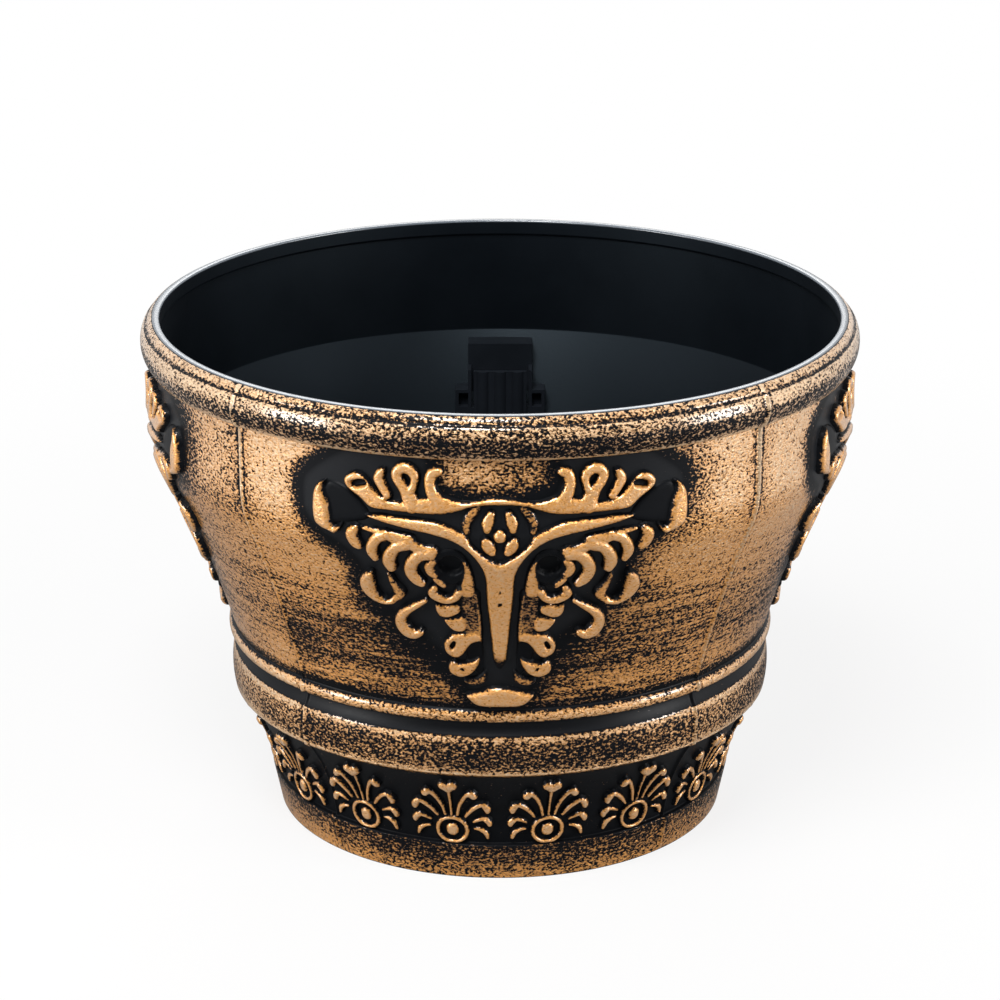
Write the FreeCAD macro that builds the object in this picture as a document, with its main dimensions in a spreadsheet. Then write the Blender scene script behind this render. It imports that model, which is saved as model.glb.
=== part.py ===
import FreeCAD, Part
import Sketcher
import math
import os
from types import SimpleNamespace

# A round moulded plant pot with four leaf cartouches, a frieze of palmettes,
# stake sockets inside the wall, a lift-out soil grid and a drain plug.
# Lengths are millimetres, Z is up, the ground is Z = 0 and the front faces -Y.

os.makedirs("parts", exist_ok=True)
doc = FreeCAD.newDocument("planter")
V = FreeCAD.Vector
UP = V(0, 0, 1)

# Driving sizes
DRIVING = {
    # radii of the outside, each one a step from the one below it
    "foot_radius": 96.0,
    "foot_width": 6.0,
    "plinth_flare": 3.3,
    "frieze_recess": 2.0,
    "frieze_flare": 14.0,
    "belt_step": 3.4,
    "groove_depth": 2.4,
    "ring_step": 3.3,
    "wall_flare": 30.9,
    "bead_step": 1.6,
    "bead_lean": 1.2,
    "lip_round": 3.2,
    "lip_overhang": 3.9,
    # heights of the outside, stacked from the ground to the lip
    "plinth_height": 16.0,
    "frieze_height": 36.2,
    "belt_chamfer": 2.4,
    "belt_height": 16.6,
    "groove_height": 7.1,
    "ring_height": 5.0,
    "wall_height": 81.4,
    "collar_height": 34.6,
    "bead_height": 13.0,
    "lip_height": 3.3,
    "edge_break": 0.7,
    "lip_band": 6.5,
    # radii of the round stretches in the section
    "frieze_curve": 80.0,
    "belt_curve": 43.0,
    "groove_curve": 12.0,
    "ring_curve": 3.6,
    "wall_curve": 470.0,
    "bead_curve": 11.6,
    "lip_curve": 4.2,
    # floor and wall
    "wall_thickness": 2.8,
    "floor_lift": 7.0,
    "floor_thickness": 3.5,
    "outlet_radius": 11.0,
    # raised ornament
    "leaf_relief": 3.2,
    "palmette_relief": 2.0,
    "boss_relief": 0.6,
    "seat_gap": 0.05,
    # stake sockets
    "slot_width": 26.4,
    "slot_depth": 9.0,
    "cheek": 1.5,
    "tongue_thickness": 2.0,
    "tongue_gap": 1.1,
    "tongue_stand": 24.0,
    "tongue_height": 30.0,
    "back_rise": 10.0,
    "flute_radius": 3.4,
    "flute_stand": 1.4,
    "wing_width": 5.9,
    "wing_drop": 9.5,
    "eye_height": 6.6,
    "eye_depth": 4.0,
    # soil grid
    "grid_gap": 1.5,
    "grid_lift": 19.5,
    "grid_thickness": 3.0,
    "grid_hole": 17.0,
    "slit_width": 5.0,
    "slit_rim": 9.0,
    "slit_land": 8.0,
    "grid_leg": 3.5,
    # drain plug
    "plug_fit": 0.05,
    "plug_lead": 2.0,
    "flange_step": 4.0,
    "flange_thickness": 3.0,
    "grip_radius": 3.2,
    "grip_height": 10.0,
    "knob_radius": 6.5,
    "knob_height": 4.0,
}
SOCKETS = 4
PALMETTES = 16
GRID_SLITS_OUTER = 24
GRID_SLITS_INNER = 12
GRID_LEGS = 6

sheet = doc.addObject("Spreadsheet::Sheet", "sizes")
for row, (alias, number) in enumerate(DRIVING.items(), 1):
    sheet.set("A%d" % row, alias)
    sheet.set("B%d" % row, str(number))
    sheet.setAlias("B%d" % row, alias)
doc.recompute()


class Size:
    """A length that carries its number and the sheet formula that it comes from."""

    def __init__(self, number, formula):
        self.number = float(number)
        self.formula = formula

    def joined(self, other, sign, number):
        return Size(number, "(%s %s %s)" % (self.formula, sign, other.formula))

    def __add__(self, other):
        other = sized(other)
        return self.joined(other, "+", self.number + other.number)

    def __sub__(self, other):
        other = sized(other)
        return self.joined(other, "-", self.number - other.number)

    def __mul__(self, other):
        other = sized(other)
        return self.joined(other, "*", self.number * other.number)

    def __truediv__(self, other):
        other = sized(other)
        return self.joined(other, "/", self.number / other.number)


def sized(value):
    return value if isinstance(value, Size) else Size(value, "%.4f" % value)


s = SimpleNamespace(**{a: Size(sheet.get(a), "sizes." + a) for a in DRIVING})
ZERO = sized(0.0)

# Heights of the section
z = SimpleNamespace()
z.plinth = s.plinth_height
z.frieze_low = z.plinth + s.edge_break
z.frieze_high = z.plinth + s.frieze_height
z.belt_low = z.frieze_high + s.belt_chamfer
z.belt_high = z.belt_low + s.belt_height
z.groove = z.belt_high + s.groove_height
z.ring = z.groove + s.ring_height
z.wall_low = z.ring + s.edge_break
z.kink = z.ring + s.wall_height
z.collar = z.kink + s.collar_height
z.bead_low = z.collar + s.edge_break
z.bead_high = z.bead_low + s.bead_height
z.lip_low = z.bead_high + s.edge_break
z.lip = z.bead_high + s.lip_height + s.edge_break
z.lip_band = z.lip - s.lip_band
z.floor = s.floor_lift + s.floor_thickness

# Radii of the section
r = SimpleNamespace()
r.foot = s.foot_radius
r.plinth = r.foot + s.plinth_flare
r.frieze_low = r.plinth - s.frieze_recess
r.frieze_high = r.frieze_low + s.frieze_flare
r.belt = r.frieze_high + s.belt_step
r.groove = r.belt - s.groove_depth
r.ring = r.groove + s.ring_step
r.wall_low = r.ring - s.edge_break
r.wall = r.wall_low + s.wall_flare
r.bead_low = r.wall + s.bead_step
r.bead_high = r.bead_low + s.bead_lean
r.lip_outer = r.bead_low - s.lip_round
r.lip_inner = r.wall - s.lip_overhang
r.inner = r.wall - s.wall_thickness
r.inner_groove = r.groove - s.wall_thickness
r.inner_belt = r.belt - s.wall_thickness * 2.5
r.inner_frieze = r.frieze_low - s.wall_thickness
r.floor = r.inner_frieze - s.edge_break


def bind(thing, name, size):
    thing.setExpression(name, size.formula)


def mid_of_arc(start, end, radius, side):
    """Middle of the shorter arc from start to end, bulging left (+1) or right (-1)."""
    chord = end - start
    sag = radius - math.sqrt(max(radius ** 2 - (chord.Length / 2) ** 2, 0.0))
    across = V(-chord.y, chord.x, 0).normalize()
    return (start + end) * 0.5 + across * (sag * side)


def outline(sketch, corners, arcs=None):
    """Closed outline through sized corners; arcs maps a corner to (radius, side) of its span."""
    arcs = arcs or {}
    count = len(corners)
    places = [V(x.number, y.number, 0) for x, y in corners]
    ends = []
    for i in range(count):
        start = places[i]
        end = places[(i + 1) % count]
        if i in arcs:
            radius, side = arcs[i]
            shape = Part.Arc(start, mid_of_arc(start, end, radius.number, side), end)
            geo = sketch.addGeometry(shape, False)
            first = sketch.getPoint(geo, 1)
            ends.append((geo, 1, 2) if first.distanceToPoint(start) < 1e-6 else (geo, 2, 1))
            at = sketch.addConstraint(Sketcher.Constraint("Radius", geo, radius.number))
            bind(sketch, "Constraints[%d]" % at, radius)
        else:
            geo = sketch.addGeometry(Part.LineSegment(start, end), False)
            ends.append((geo, 1, 2))
    for i in range(count):
        geo, first, last = ends[i]
        after = ends[(i + 1) % count]
        sketch.addConstraint(Sketcher.Constraint("Coincident", geo, last, after[0], after[1]))
        for kind, axis, size in (("DistanceX", -2, corners[i][0]), ("DistanceY", -1, corners[i][1])):
            if abs(size.number) < 1e-9:
                sketch.addConstraint(Sketcher.Constraint("PointOnObject", geo, first, axis))
            else:
                at = sketch.addConstraint(Sketcher.Constraint(kind, -1, 1, geo, first, size.number))
                bind(sketch, "Constraints[%d]" % at, size)


def new_body(label):
    body = doc.addObject("PartDesign::Body", label)
    body.Label = label
    return body


def plane_of(body, role):
    return [f for f in body.Origin.OriginFeatures if f.Role == role][0]


def new_sketch(body, name, role, height=None):
    sketch = body.newObject("Sketcher::SketchObject", name)
    sketch.AttachmentSupport = [(plane_of(body, role), "")]
    sketch.MapMode = "FlatFace"
    if height is not None:
        bind(sketch, "AttachmentOffset.Base.z", height)
    return sketch


def revolve_section(body, name, corners, arcs=None):
    sketch = new_sketch(body, name + "_section", "XZ_Plane")
    outline(sketch, corners, arcs)
    turned = body.newObject("PartDesign::Revolution", name)
    turned.Profile = sketch
    turned.ReferenceAxis = (sketch, ["V_Axis"])
    turned.Angle = 360
    doc.recompute()
    return turned


def circle(sketch, x, y, radius):
    centre = V(x.number, y.number, 0)
    geo = sketch.addGeometry(Part.Circle(centre, V(0, 0, 1), radius.number), False)
    at = sketch.addConstraint(Sketcher.Constraint("Radius", geo, radius.number))
    bind(sketch, "Constraints[%d]" % at, radius)
    for kind, axis, size in (("DistanceX", -2, x), ("DistanceY", -1, y)):
        if abs(size.number) < 1e-9:
            sketch.addConstraint(Sketcher.Constraint("PointOnObject", geo, 3, axis))
        else:
            at = sketch.addConstraint(Sketcher.Constraint(kind, -1, 1, geo, 3, size.number))
            bind(sketch, "Constraints[%d]" % at, size)


def around(body, feature, name, count):
    pattern = body.newObject("PartDesign::PolarPattern", name)
    pattern.Originals = [feature]
    pattern.Axis = (plane_of(body, "Z_Axis"), [""])
    pattern.Angle = 360
    pattern.Occurrences = count
    body.Tip = pattern
    doc.recompute()
    return pattern


# Pot shell: one section turned about the axis, open at the drain outlet
WALL_BULGE = 1
shell = new_body("pot_shell")
revolve_section(shell, "shell_turned", [
    (s.outlet_radius, s.floor_lift),
    (r.foot - s.foot_width, s.floor_lift),
    (r.foot - s.foot_width, ZERO),
    (r.foot, ZERO),
    (r.plinth, z.plinth),
    (r.frieze_low, z.frieze_low),
    (r.frieze_high, z.frieze_high),
    (r.belt, z.belt_low),
    (r.belt, z.belt_high),
    (r.groove, z.groove),
    (r.ring, z.groove),
    (r.ring, z.ring),
    (r.wall_low, z.wall_low),
    (r.wall, z.kink),
    (r.wall, z.collar),
    (r.bead_low, z.bead_low),
    (r.bead_high, z.bead_high),
    (r.bead_low, z.lip_low),
    (r.lip_outer, z.lip),
    (r.lip_inner + s.edge_break, z.lip),
    (r.lip_inner, z.lip - s.edge_break),
    (r.lip_inner, z.lip_band),
    (r.inner, z.lip_band - s.edge_break),
    (r.inner, z.kink),
    (r.inner_groove, z.groove),
    (r.inner_belt, z.belt_low),
    (r.inner_frieze, z.frieze_low),
    (r.floor, z.floor),
    (s.outlet_radius, z.floor),
], {
    5: (s.frieze_curve, WALL_BULGE),
    7: (s.belt_curve, -1),
    8: (s.groove_curve, WALL_BULGE),
    10: (s.ring_curve, -1),
    12: (s.wall_curve, WALL_BULGE),
    15: (s.bead_curve, -1),
    17: (s.lip_curve, -1),
    23: (s.wall_curve, -WALL_BULGE),
    25: (s.frieze_curve, -WALL_BULGE),
})


def turned_core(corners, arcs, step):
    """Solid of revolution under an outside curve that is moved outward by step."""
    places = [V(x.number + step, 0, y.number) for x, y in corners]
    edges = []
    for i in range(len(places) - 1):
        a = places[i]
        b = places[i + 1]
        if i in arcs:
            flat = mid_of_arc(V(a.x, a.z, 0), V(b.x, b.z, 0), arcs[i][0].number, arcs[i][1])
            edges.append(Part.Arc(a, V(flat.x, 0, flat.y), b).toShape())
        else:
            edges.append(Part.LineSegment(a, b).toShape())
    top = V(0, 0, places[-1].z)
    low = V(0, 0, places[0].z)
    edges.append(Part.LineSegment(places[-1], top).toShape())
    edges.append(Part.LineSegment(top, low).toShape())
    edges.append(Part.LineSegment(low, places[0]).toShape())
    return Part.Face(Part.Wire(edges)).revolve(V(0, 0, 0), UP, 360)


def wall_core(step):
    corners = [(r.wall_low, z.wall_low), (r.wall, z.kink), (r.wall, z.collar)]
    return turned_core(corners, {0: (s.wall_curve, WALL_BULGE)}, step)


def frieze_core(step):
    corners = [(r.frieze_low, z.frieze_low), (r.frieze_high, z.frieze_high)]
    return turned_core(corners, {0: (s.frieze_curve, WALL_BULGE)}, step)


def blob(points):
    """Flat face in the XZ plane inside a smooth closed curve through the points."""
    turn = sum(a.x * b.z - b.x * a.z for a, b in zip(points, points[1:] + points[:1]))
    if turn < 0:
        points = points[::-1]
    curve = Part.BSplineCurve()
    curve.interpolate(Points=points, PeriodicFlag=True)
    return Part.Face(Part.Wire([curve.toShape()]))


def leaf(spine, widths):
    """Finger of changing width along a spine, rounded at both ends."""
    curve = Part.BSplineCurve()
    curve.interpolate(spine)
    left = []
    right = []
    tips = []
    for place, width in zip(spine, widths):
        along = curve.tangent(curve.parameter(place))[0]
        across = V(-along.z, 0, along.x) * (width / 2)
        left.append(place + across)
        right.append(place - across)
        tips.append(along * (width / 2))
    return blob(left + [spine[-1] + tips[-1]] + right[::-1] + [spine[0] - tips[0]])


def disc(x, height, radius):
    ring = Part.Circle(V(x, 0, height), V(0, -1, 0), radius)
    return Part.Face(Part.Wire([ring.toShape()]))


def leaf_pair(spine, widths):
    """A finger and its mirror image across the middle."""
    return [leaf(spine, widths), leaf([V(-p.x, p.y, p.z) for p in spine], widths)]


def united(faces):
    """One flat sheet from overlapping faces."""
    return Part.Shell(faces[0].fuse(faces[1:]).Faces).removeSplitter()


def raised(face, core, step, reach):
    """The part of a face's straight shadow on the front, from the seat gap to step above the core."""
    shadow = face.translated(V(0, -reach, 0)).extrude(V(0, reach, 0))
    return shadow.common(core(step)).cut(core(s.seat_gap.number))


def one_solid(shape):
    solids = sorted(shape.Solids, key=lambda part: part.Volume)
    return solids[-1]


# Cartouche drawing: half of it, across from the middle and up from the wall's foot,
# on a field of the height below, so that it grows with the wall
FIELD = 115.3
field_scale = (z.collar.number - z.wall_low.number) / FIELD
field_foot = z.wall_low.number


def on_field(points):
    return [V(x * field_scale, 0, field_foot + y * field_scale) for x, y in points]


TRUNK = [(3.2, 40), (5, 56), (5.6, 66), (8.5, 73), (15, 80.3), (27, 85), (42, 87.5), (51, 90.8),
         (40, 91.2), (27, 90.7), (17, 87.3), (11, 82.5), (6, 76)]
TRUNK_TOP = (0, 73.2)
TRUNK_FOOT = (0, 23)
LEAVES = [
    # the long upper leaf and its four fingers
    ([(0, 99.3), (9, 98.3), (24, 96.3), (40, 96), (52, 98)], [2.6, 2.6, 5.4, 5.2, 4.2]),
    ([(23, 98), (26.6, 103), (26, 107.5), (23.6, 110)], [4, 3.6, 3.6, 3.2]),
    ([(33.5, 97), (35, 104), (36.2, 109)], [3.6, 6.4, 6.2]),
    ([(41.5, 97), (45.2, 103.5), (45, 108.3)], [3.2, 2.6, 2.4]),
    ([(45, 97.5), (51.5, 101.5), (55.4, 104.5)], [4.5, 7.2, 6.6]),
    # the leaf under the arm and its fingers
    ([(22, 76.6), (28, 80), (36, 83), (50, 85)], [4, 5.4, 4.6, 2.8]),
    ([(50, 84.6), (56.2, 81.8), (54.6, 77.5)], [2.4, 3.6, 3.2]),
    ([(42, 83), (48, 78.5), (47.3, 74)], [3.6, 3.4, 3]),
    ([(34, 81.5), (42, 75.5), (41.6, 70)], [4.4, 3.8, 3.6]),
    ([(27, 79), (34, 71), (30.6, 63.2)], [5, 4.6, 3.4]),
    # the ribbon beside the stem, the cup under the eye and the scallops
    ([(13.4, 75), (11.3, 64), (8.6, 54), (7.4, 38), (6.2, 18)], [2.6, 4, 3.2, 2, 2]),
    ([(26.3, 59.6), (21, 55.2), (15.6, 58), (10.6, 61)], [2.6, 2.8, 2.4, 2]),
    ([(24.4, 52.4), (20.4, 46.8), (14, 48), (8.6, 51)], [2.4, 3.2, 4, 3]),
    ([(20.4, 44.6), (16.6, 41.4), (8, 44.5)], [3, 3.6, 3]),
    ([(19.6, 34), (17, 29), (12, 33.5), (7.6, 38)], [3.4, 4.2, 3, 2.4]),
    ([(18.6, 23.4), (15, 19.3), (7, 26)], [3, 3.8, 2.6]),
    ([(6.2, 19), (8.6, 14.5), (7.4, 9.5)], [3, 3.4, 3]),
    # scoop at the arm's end, end bar, hanging drop with its edge, and curl
    ([(51, 91), (58, 91.2), (66, 92)], [12, 13, 15]),
    ([(65, 101.5), (69.4, 97), (69, 86), (64.4, 83)], [3, 4.6, 4.6, 3]),
    ([(49.4, 63.2), (51, 58), (47, 52.6), (38.6, 54)], [2.2, 4.6, 2.6, 1.6]),
    ([(41.6, 70), (41.5, 62), (38.6, 54)], [1.8, 1.8, 1.8]),
    ([(26.4, 58), (34.5, 48), (38, 41.6), (35.6, 37), (31.6, 36.8)], [1.8, 2.8, 3.6, 3.2, 2.6]),
    # rosette petals
    ([(0, 85.8), (3.8, 92.4)], [3, 4]),
    ([(0, 85.8), (4.6, 77.6)], [3, 4.4]),
]
EYE = (19.0, 70.6)
EYE_RIM = 6.8
EYE_HOLE = 4.4
FOOT = [(12.8, 7.6), (7.2, 10.9), (0, 11.8), (-7.2, 10.9), (-12.8, 7.6), (-8, 3.3), (0, 2.2), (8, 3.3)]


def both_sides(points, middle=None, foot=None):
    other = [(-x, y) for x, y in points[::-1]]
    full = list(points)
    if middle:
        full.append(middle)
    full += other
    if foot:
        full.append(foot)
    return full


def make_cartouche():
    reach = (r.wall.number + s.leaf_relief.number) * 1.2
    fingers = [blob(on_field(both_sides(TRUNK, TRUNK_TOP, TRUNK_FOOT))), blob(on_field(FOOT))]
    for spine, widths in LEAVES:
        fingers += leaf_pair(on_field(spine), [w * field_scale for w in widths])
    eye = on_field([EYE])[0]
    fingers += [disc(x, eye.z, EYE_RIM * field_scale) for x in (eye.x, -eye.x)]
    holes = [disc(x, eye.z, EYE_HOLE * field_scale) for x in (eye.x, -eye.x)]
    drawing = united(fingers).cut(holes)
    return one_solid(raised(drawing, wall_core, s.leaf_relief.number, reach))


# Palmette drawing: across from its stalk and up from the frieze's foot
FRIEZE_FIELD = 35.5
frieze_scale = (z.frieze_high.number - z.frieze_low.number) / FRIEZE_FIELD
frieze_foot = z.frieze_low.number
RING = (0, 6.9)
RING_OUTER = 6.6
RING_INNER = 4.9
DOT = 2.7
STALK = ([(0, 12.6), (0, 20), (0, 28)], [1.5, 1.3, 1.6])
KNOB = ([(-1.6, 31), (1.6, 31)], [4.2, 4.2])
PETAL_SPINES = [
    ([(2, 13), (3.6, 19.3), (6.2, 24.6), (9.2, 27), (11, 24.4)], [1.5, 1.6, 1.8, 3, 1.8]),
    ([(4.2, 12), (9, 18.4), (13, 21.2), (15.4, 19.4), (14.8, 16.4)], [1.8, 2, 2.2, 2.4, 1.6]),
    ([(5.8, 9), (10.5, 12.3), (13.5, 13.1), (15.8, 11.5), (15.3, 9)], [1.2, 1.3, 2, 2.4, 1.6]),
    ([(6, 7.6), (11, 7.6), (14, 6), (14.4, 3.2)], [1.4, 1.6, 1.9, 1.6]),
]


def on_frieze(points):
    return [V(x * frieze_scale, 0, frieze_foot + y * frieze_scale) for x, y in points]


def make_palmette():
    reach = (r.frieze_high.number + s.palmette_relief.number) * 1.2
    centre = on_frieze([RING])[0]
    parts = []
    for spine, widths in [STALK, KNOB]:
        parts.append(leaf(on_frieze(spine), [w * frieze_scale for w in widths]))
    for spine, widths in PETAL_SPINES:
        parts += leaf_pair(on_frieze(spine), [w * frieze_scale for w in widths])
    outer = disc(centre.x, centre.z, RING_OUTER * frieze_scale)
    inner = disc(centre.x, centre.z, RING_INNER * frieze_scale)
    dot = disc(centre.x, centre.z, DOT * frieze_scale)
    lines = united([outer] + parts).cut(inner)
    levels = [
        raised(outer, frieze_core, s.boss_relief.number, reach),
        raised(lines, frieze_core, s.palmette_relief.number, reach),
        raised(dot, frieze_core, s.palmette_relief.number, reach),
    ]
    return one_solid(levels[0].fuse(levels[1:]).removeSplitter())


def place_copies(shape, labels, first, pitch):
    for i, label in enumerate(labels):
        copy = doc.addObject("Part::Feature", label)
        copy.Label = label
        copy.Shape = shape
        copy.Placement = FreeCAD.Placement(V(0, 0, 0), FreeCAD.Rotation(UP, first + pitch * i))


SIDES = ["front", "right", "back", "left"]
place_copies(make_cartouche(), ["cartouche_" + side for side in SIDES], 0.0, 90.0)
palmette_pitch = 360.0 / PALMETTES
palmette_names = ["palmette_%02d" % (i + 1) for i in range(PALMETTES)]
place_copies(make_palmette(), palmette_names, palmette_pitch / 2, palmette_pitch)


def cavity():
    """Space inside the wall from the groove to the collar, clear of the wall by the seat gap."""
    corners = [(r.inner_groove, z.groove), (r.inner, z.kink), (r.inner, z.collar)]
    return turned_core(corners, {0: (s.wall_curve, WALL_BULGE)}, -s.seat_gap.number)


def upright(width, near, far, low, high, x=0.0):
    """Box on the front side: near and far are distances from the axis."""
    return Part.makeBox(width, far - near, high - low, V(x - width / 2, -far, low))


def make_socket():
    tongue_face = r.inner.number - s.tongue_stand.number
    slot_near = tongue_face + s.tongue_thickness.number
    slot_far = slot_near + s.slot_depth.number
    top = z.kink.number - s.wall_thickness.number - s.edge_break.number
    tongue_top = top - s.back_rise.number
    foot = tongue_top - s.tongue_height.number
    wing_top = tongue_top - s.wing_drop.number
    outer = s.slot_width.number + 2 * s.cheek.number
    wide = outer + 2 * s.wing_width.number
    far = r.wall.number
    block = upright(outer, slot_near, far, foot, tongue_top)
    back = upright(outer, slot_far, far, foot, top)
    wings = upright(wide, slot_near, far, foot, wing_top)
    tongue = upright(s.slot_width.number - 2 * s.tongue_gap.number, tongue_face, slot_near, foot, tongue_top)
    body = block.fuse([back, wings, tongue])
    flute_pitch = (s.slot_width.number - 2 * s.tongue_gap.number) / 3
    for i in (-1, 0, 1):
        centre = V(i * flute_pitch, -tongue_face - s.flute_radius.number + s.flute_stand.number, foot)
        body = body.fuse(Part.makeCylinder(s.flute_radius.number, tongue_top - foot, centre))
    slot_floor = foot + s.tongue_height.number * 0.4
    slot = upright(s.slot_width.number, slot_near, slot_far, slot_floor, top + 1)
    front_gap = s.slot_width.number / 2 - s.tongue_gap.number / 2
    gap = s.tongue_gap.number
    cuts = [slot]
    for side in (-1, 1):
        eye_x = side * (outer + s.wing_width.number - s.cheek.number) / 2
        eye_top = wing_top - s.cheek.number
        eye_low = eye_top - s.eye_height.number
        eye_far = slot_near + s.eye_depth.number
        cuts.append(upright(s.wing_width.number - s.cheek.number, slot_near - 1, eye_far, eye_low, eye_top, eye_x))
        cuts.append(upright(gap, tongue_face - 9, slot_near, slot_floor, top + 1, side * front_gap))
    return one_solid(body.cut(cuts).common(cavity()).removeSplitter())


socket_names = ["stake_socket_" + side for side in SIDES]
place_copies(make_socket(), socket_names, 0.0, 360.0 / SOCKETS)

# Soil grid: a slotted disc on legs, with a lift hole in the middle
grid_low = z.floor + s.grid_lift
grid_high = grid_low + s.grid_thickness
grid_radius = r.inner_frieze + (r.inner_belt - r.inner_frieze) * 0.16 - s.grid_gap
grid = new_body("drain_grid")
disc_sketch = new_sketch(grid, "grid_disc", "XY_Plane", grid_low)
circle(disc_sketch, ZERO, ZERO, grid_radius)
circle(disc_sketch, ZERO, ZERO, s.grid_hole)
grid_plate = grid.newObject("PartDesign::Pad", "grid_plate")
grid_plate.Profile = disc_sketch
bind(grid_plate, "Length", s.grid_thickness)
doc.recompute()
land = (grid_radius - s.slit_rim - s.grid_hole - s.slit_land * 2) / 2


def grid_slits(name, near, far, count):
    sketch = new_sketch(grid, name + "_outline", "XY_Plane", grid_high)
    half = s.slit_width / 2
    outline(sketch, [(near, ZERO - half), (far, ZERO - half), (far, half), (near, half)])
    pocket = grid.newObject("PartDesign::Pocket", name)
    pocket.Profile = sketch
    bind(pocket, "Length", s.grid_thickness)
    doc.recompute()
    around(grid, pocket, name + "_round", count)


inner_near = s.grid_hole + s.slit_land
inner_far = inner_near + land
outer_near = inner_far + s.slit_land
grid_slits("slits_inner", inner_near, inner_far, GRID_SLITS_INNER)
grid_slits("slits_outer", outer_near, outer_near + land, GRID_SLITS_OUTER)
leg_sketch = new_sketch(grid, "leg_outline", "XY_Plane", z.floor)
circle(leg_sketch, inner_far + s.slit_land / 2, ZERO, s.grid_leg)
leg = grid.newObject("PartDesign::Pad", "grid_leg")
leg.Profile = leg_sketch
bind(leg, "Length", s.grid_lift)
doc.recompute()
around(grid, leg, "legs_round", GRID_LEGS)

# Drain plug: stem through the outlet, flange on the floor, grip and knob
plug = new_body("drain_plug")
stem = s.outlet_radius - s.plug_fit
flange = s.outlet_radius + s.flange_step
flange_top = z.floor + s.flange_thickness
grip_top = flange_top + s.grip_height
knob_top = grip_top + s.knob_height
revolve_section(plug, "plug_turned", [
    (ZERO, s.floor_lift - s.plug_lead),
    (stem - s.plug_lead, s.floor_lift - s.plug_lead),
    (stem, s.floor_lift),
    (stem, z.floor),
    (flange, z.floor),
    (flange, flange_top - s.edge_break),
    (flange - s.edge_break, flange_top),
    (s.grip_radius, flange_top),
    (s.grip_radius, grip_top),
    (s.knob_radius, grip_top + s.edge_break),
    (s.knob_radius, knob_top - s.edge_break),
    (s.knob_radius - s.edge_break, knob_top),
    (ZERO, knob_top),
])

doc.recompute()
pieces = [shell, grid, plug]
pieces += [doc.getObject("cartouche_" + side) for side in SIDES]
pieces += [doc.getObject(name) for name in palmette_names + socket_names]
for thing in doc.Objects:
    if "Invalid" in thing.State or "Error" in thing.State:
        raise RuntimeError("%s did not build" % thing.Label)
for piece in pieces:
    if piece.Shape.isNull() or not piece.Shape.isValid() or not piece.Shape.Solids:
        raise RuntimeError("%s has no sound shape" % piece.Label)
for piece in pieces:
    piece.Shape.exportStep("parts/%s.step" % piece.Label)
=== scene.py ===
import math

import bpy
import numpy as np
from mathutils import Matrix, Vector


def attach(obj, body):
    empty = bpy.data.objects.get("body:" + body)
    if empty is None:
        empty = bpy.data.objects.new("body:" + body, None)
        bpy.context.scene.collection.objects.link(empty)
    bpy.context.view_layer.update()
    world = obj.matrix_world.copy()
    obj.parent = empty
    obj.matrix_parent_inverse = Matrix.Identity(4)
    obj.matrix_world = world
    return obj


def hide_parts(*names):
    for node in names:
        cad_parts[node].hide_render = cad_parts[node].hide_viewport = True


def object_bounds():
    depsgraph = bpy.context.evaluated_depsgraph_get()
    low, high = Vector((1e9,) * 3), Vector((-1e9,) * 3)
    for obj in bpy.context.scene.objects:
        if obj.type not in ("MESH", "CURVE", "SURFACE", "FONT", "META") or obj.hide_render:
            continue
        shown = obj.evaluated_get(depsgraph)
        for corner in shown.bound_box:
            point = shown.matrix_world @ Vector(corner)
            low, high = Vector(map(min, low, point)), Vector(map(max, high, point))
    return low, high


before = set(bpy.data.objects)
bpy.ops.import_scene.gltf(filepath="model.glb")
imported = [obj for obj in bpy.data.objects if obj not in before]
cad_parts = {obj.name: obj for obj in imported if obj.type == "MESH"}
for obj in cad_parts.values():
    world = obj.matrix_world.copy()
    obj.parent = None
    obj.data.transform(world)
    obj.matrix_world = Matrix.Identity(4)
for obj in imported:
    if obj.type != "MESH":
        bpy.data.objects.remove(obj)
cad_low, cad_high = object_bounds()

# A moulded black plastic pot with leaf cartouches and palmettes, dry-brushed in bronze.
# Drawings are in millimetres and the meshes in metres; the front faces -Y.
MM = 0.001
SIDES = ["front", "right", "back", "left"]
SIDE_STEP = math.tau / len(SIDES)
PALMETTES = 16
PALMETTE_STEP = math.tau / PALMETTES

# Farther than any gap, a guard against dividing by nothing, and heights that count as the same
FAR = 1e3
TINY = 1e-12
SAME = 1e-6

# Section of the pot: radii
OUTLET_R = 11.0
FOOT_IN_R = 90.0
FOOT_R = 96.0
PLINTH_R = 99.3
FRIEZE_LOW_R = 97.3
FRIEZE_HIGH_R = 111.3
BELT_R = 114.7
GROOVE_R = 112.3
RING_R = 115.6
WALL_LOW_R = 114.9
KINK_LOW_R = 141.45
WALL_R = 145.8
BEAD_LOW_R = 147.4
BEAD_HIGH_R = 148.6
LIP_OUT_R = 144.2
LIP_IN_R = 141.9
INNER_R = 143.0
INNER_GROOVE_R = 109.5
INNER_BELT_R = 107.7
INNER_FRIEZE_R = 94.5
FLOOR_R = 93.8

# Section of the pot: heights
FLOOR_LOW_Z = 7.0
FLOOR_Z = 10.5
PLINTH_Z = 16.0
FRIEZE_LOW_Z = 16.7
FRIEZE_HIGH_Z = 52.2
BELT_LOW_Z = 54.6
BELT_HIGH_Z = 71.2
GROOVE_Z = 78.3
RING_Z = 83.3
WALL_LOW_Z = 84.0
KINK_LOW_Z = 155.7
KINK_Z = 164.7
KINK_HIGH_Z = 174.7
COLLAR_Z = 199.3
BEAD_LOW_Z = 200.0
BEAD_HIGH_Z = 213.0
LIP_LOW_Z = 213.7
LIP_BAND_Z = 210.5
LIP_Z = cad_high.z / MM

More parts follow.
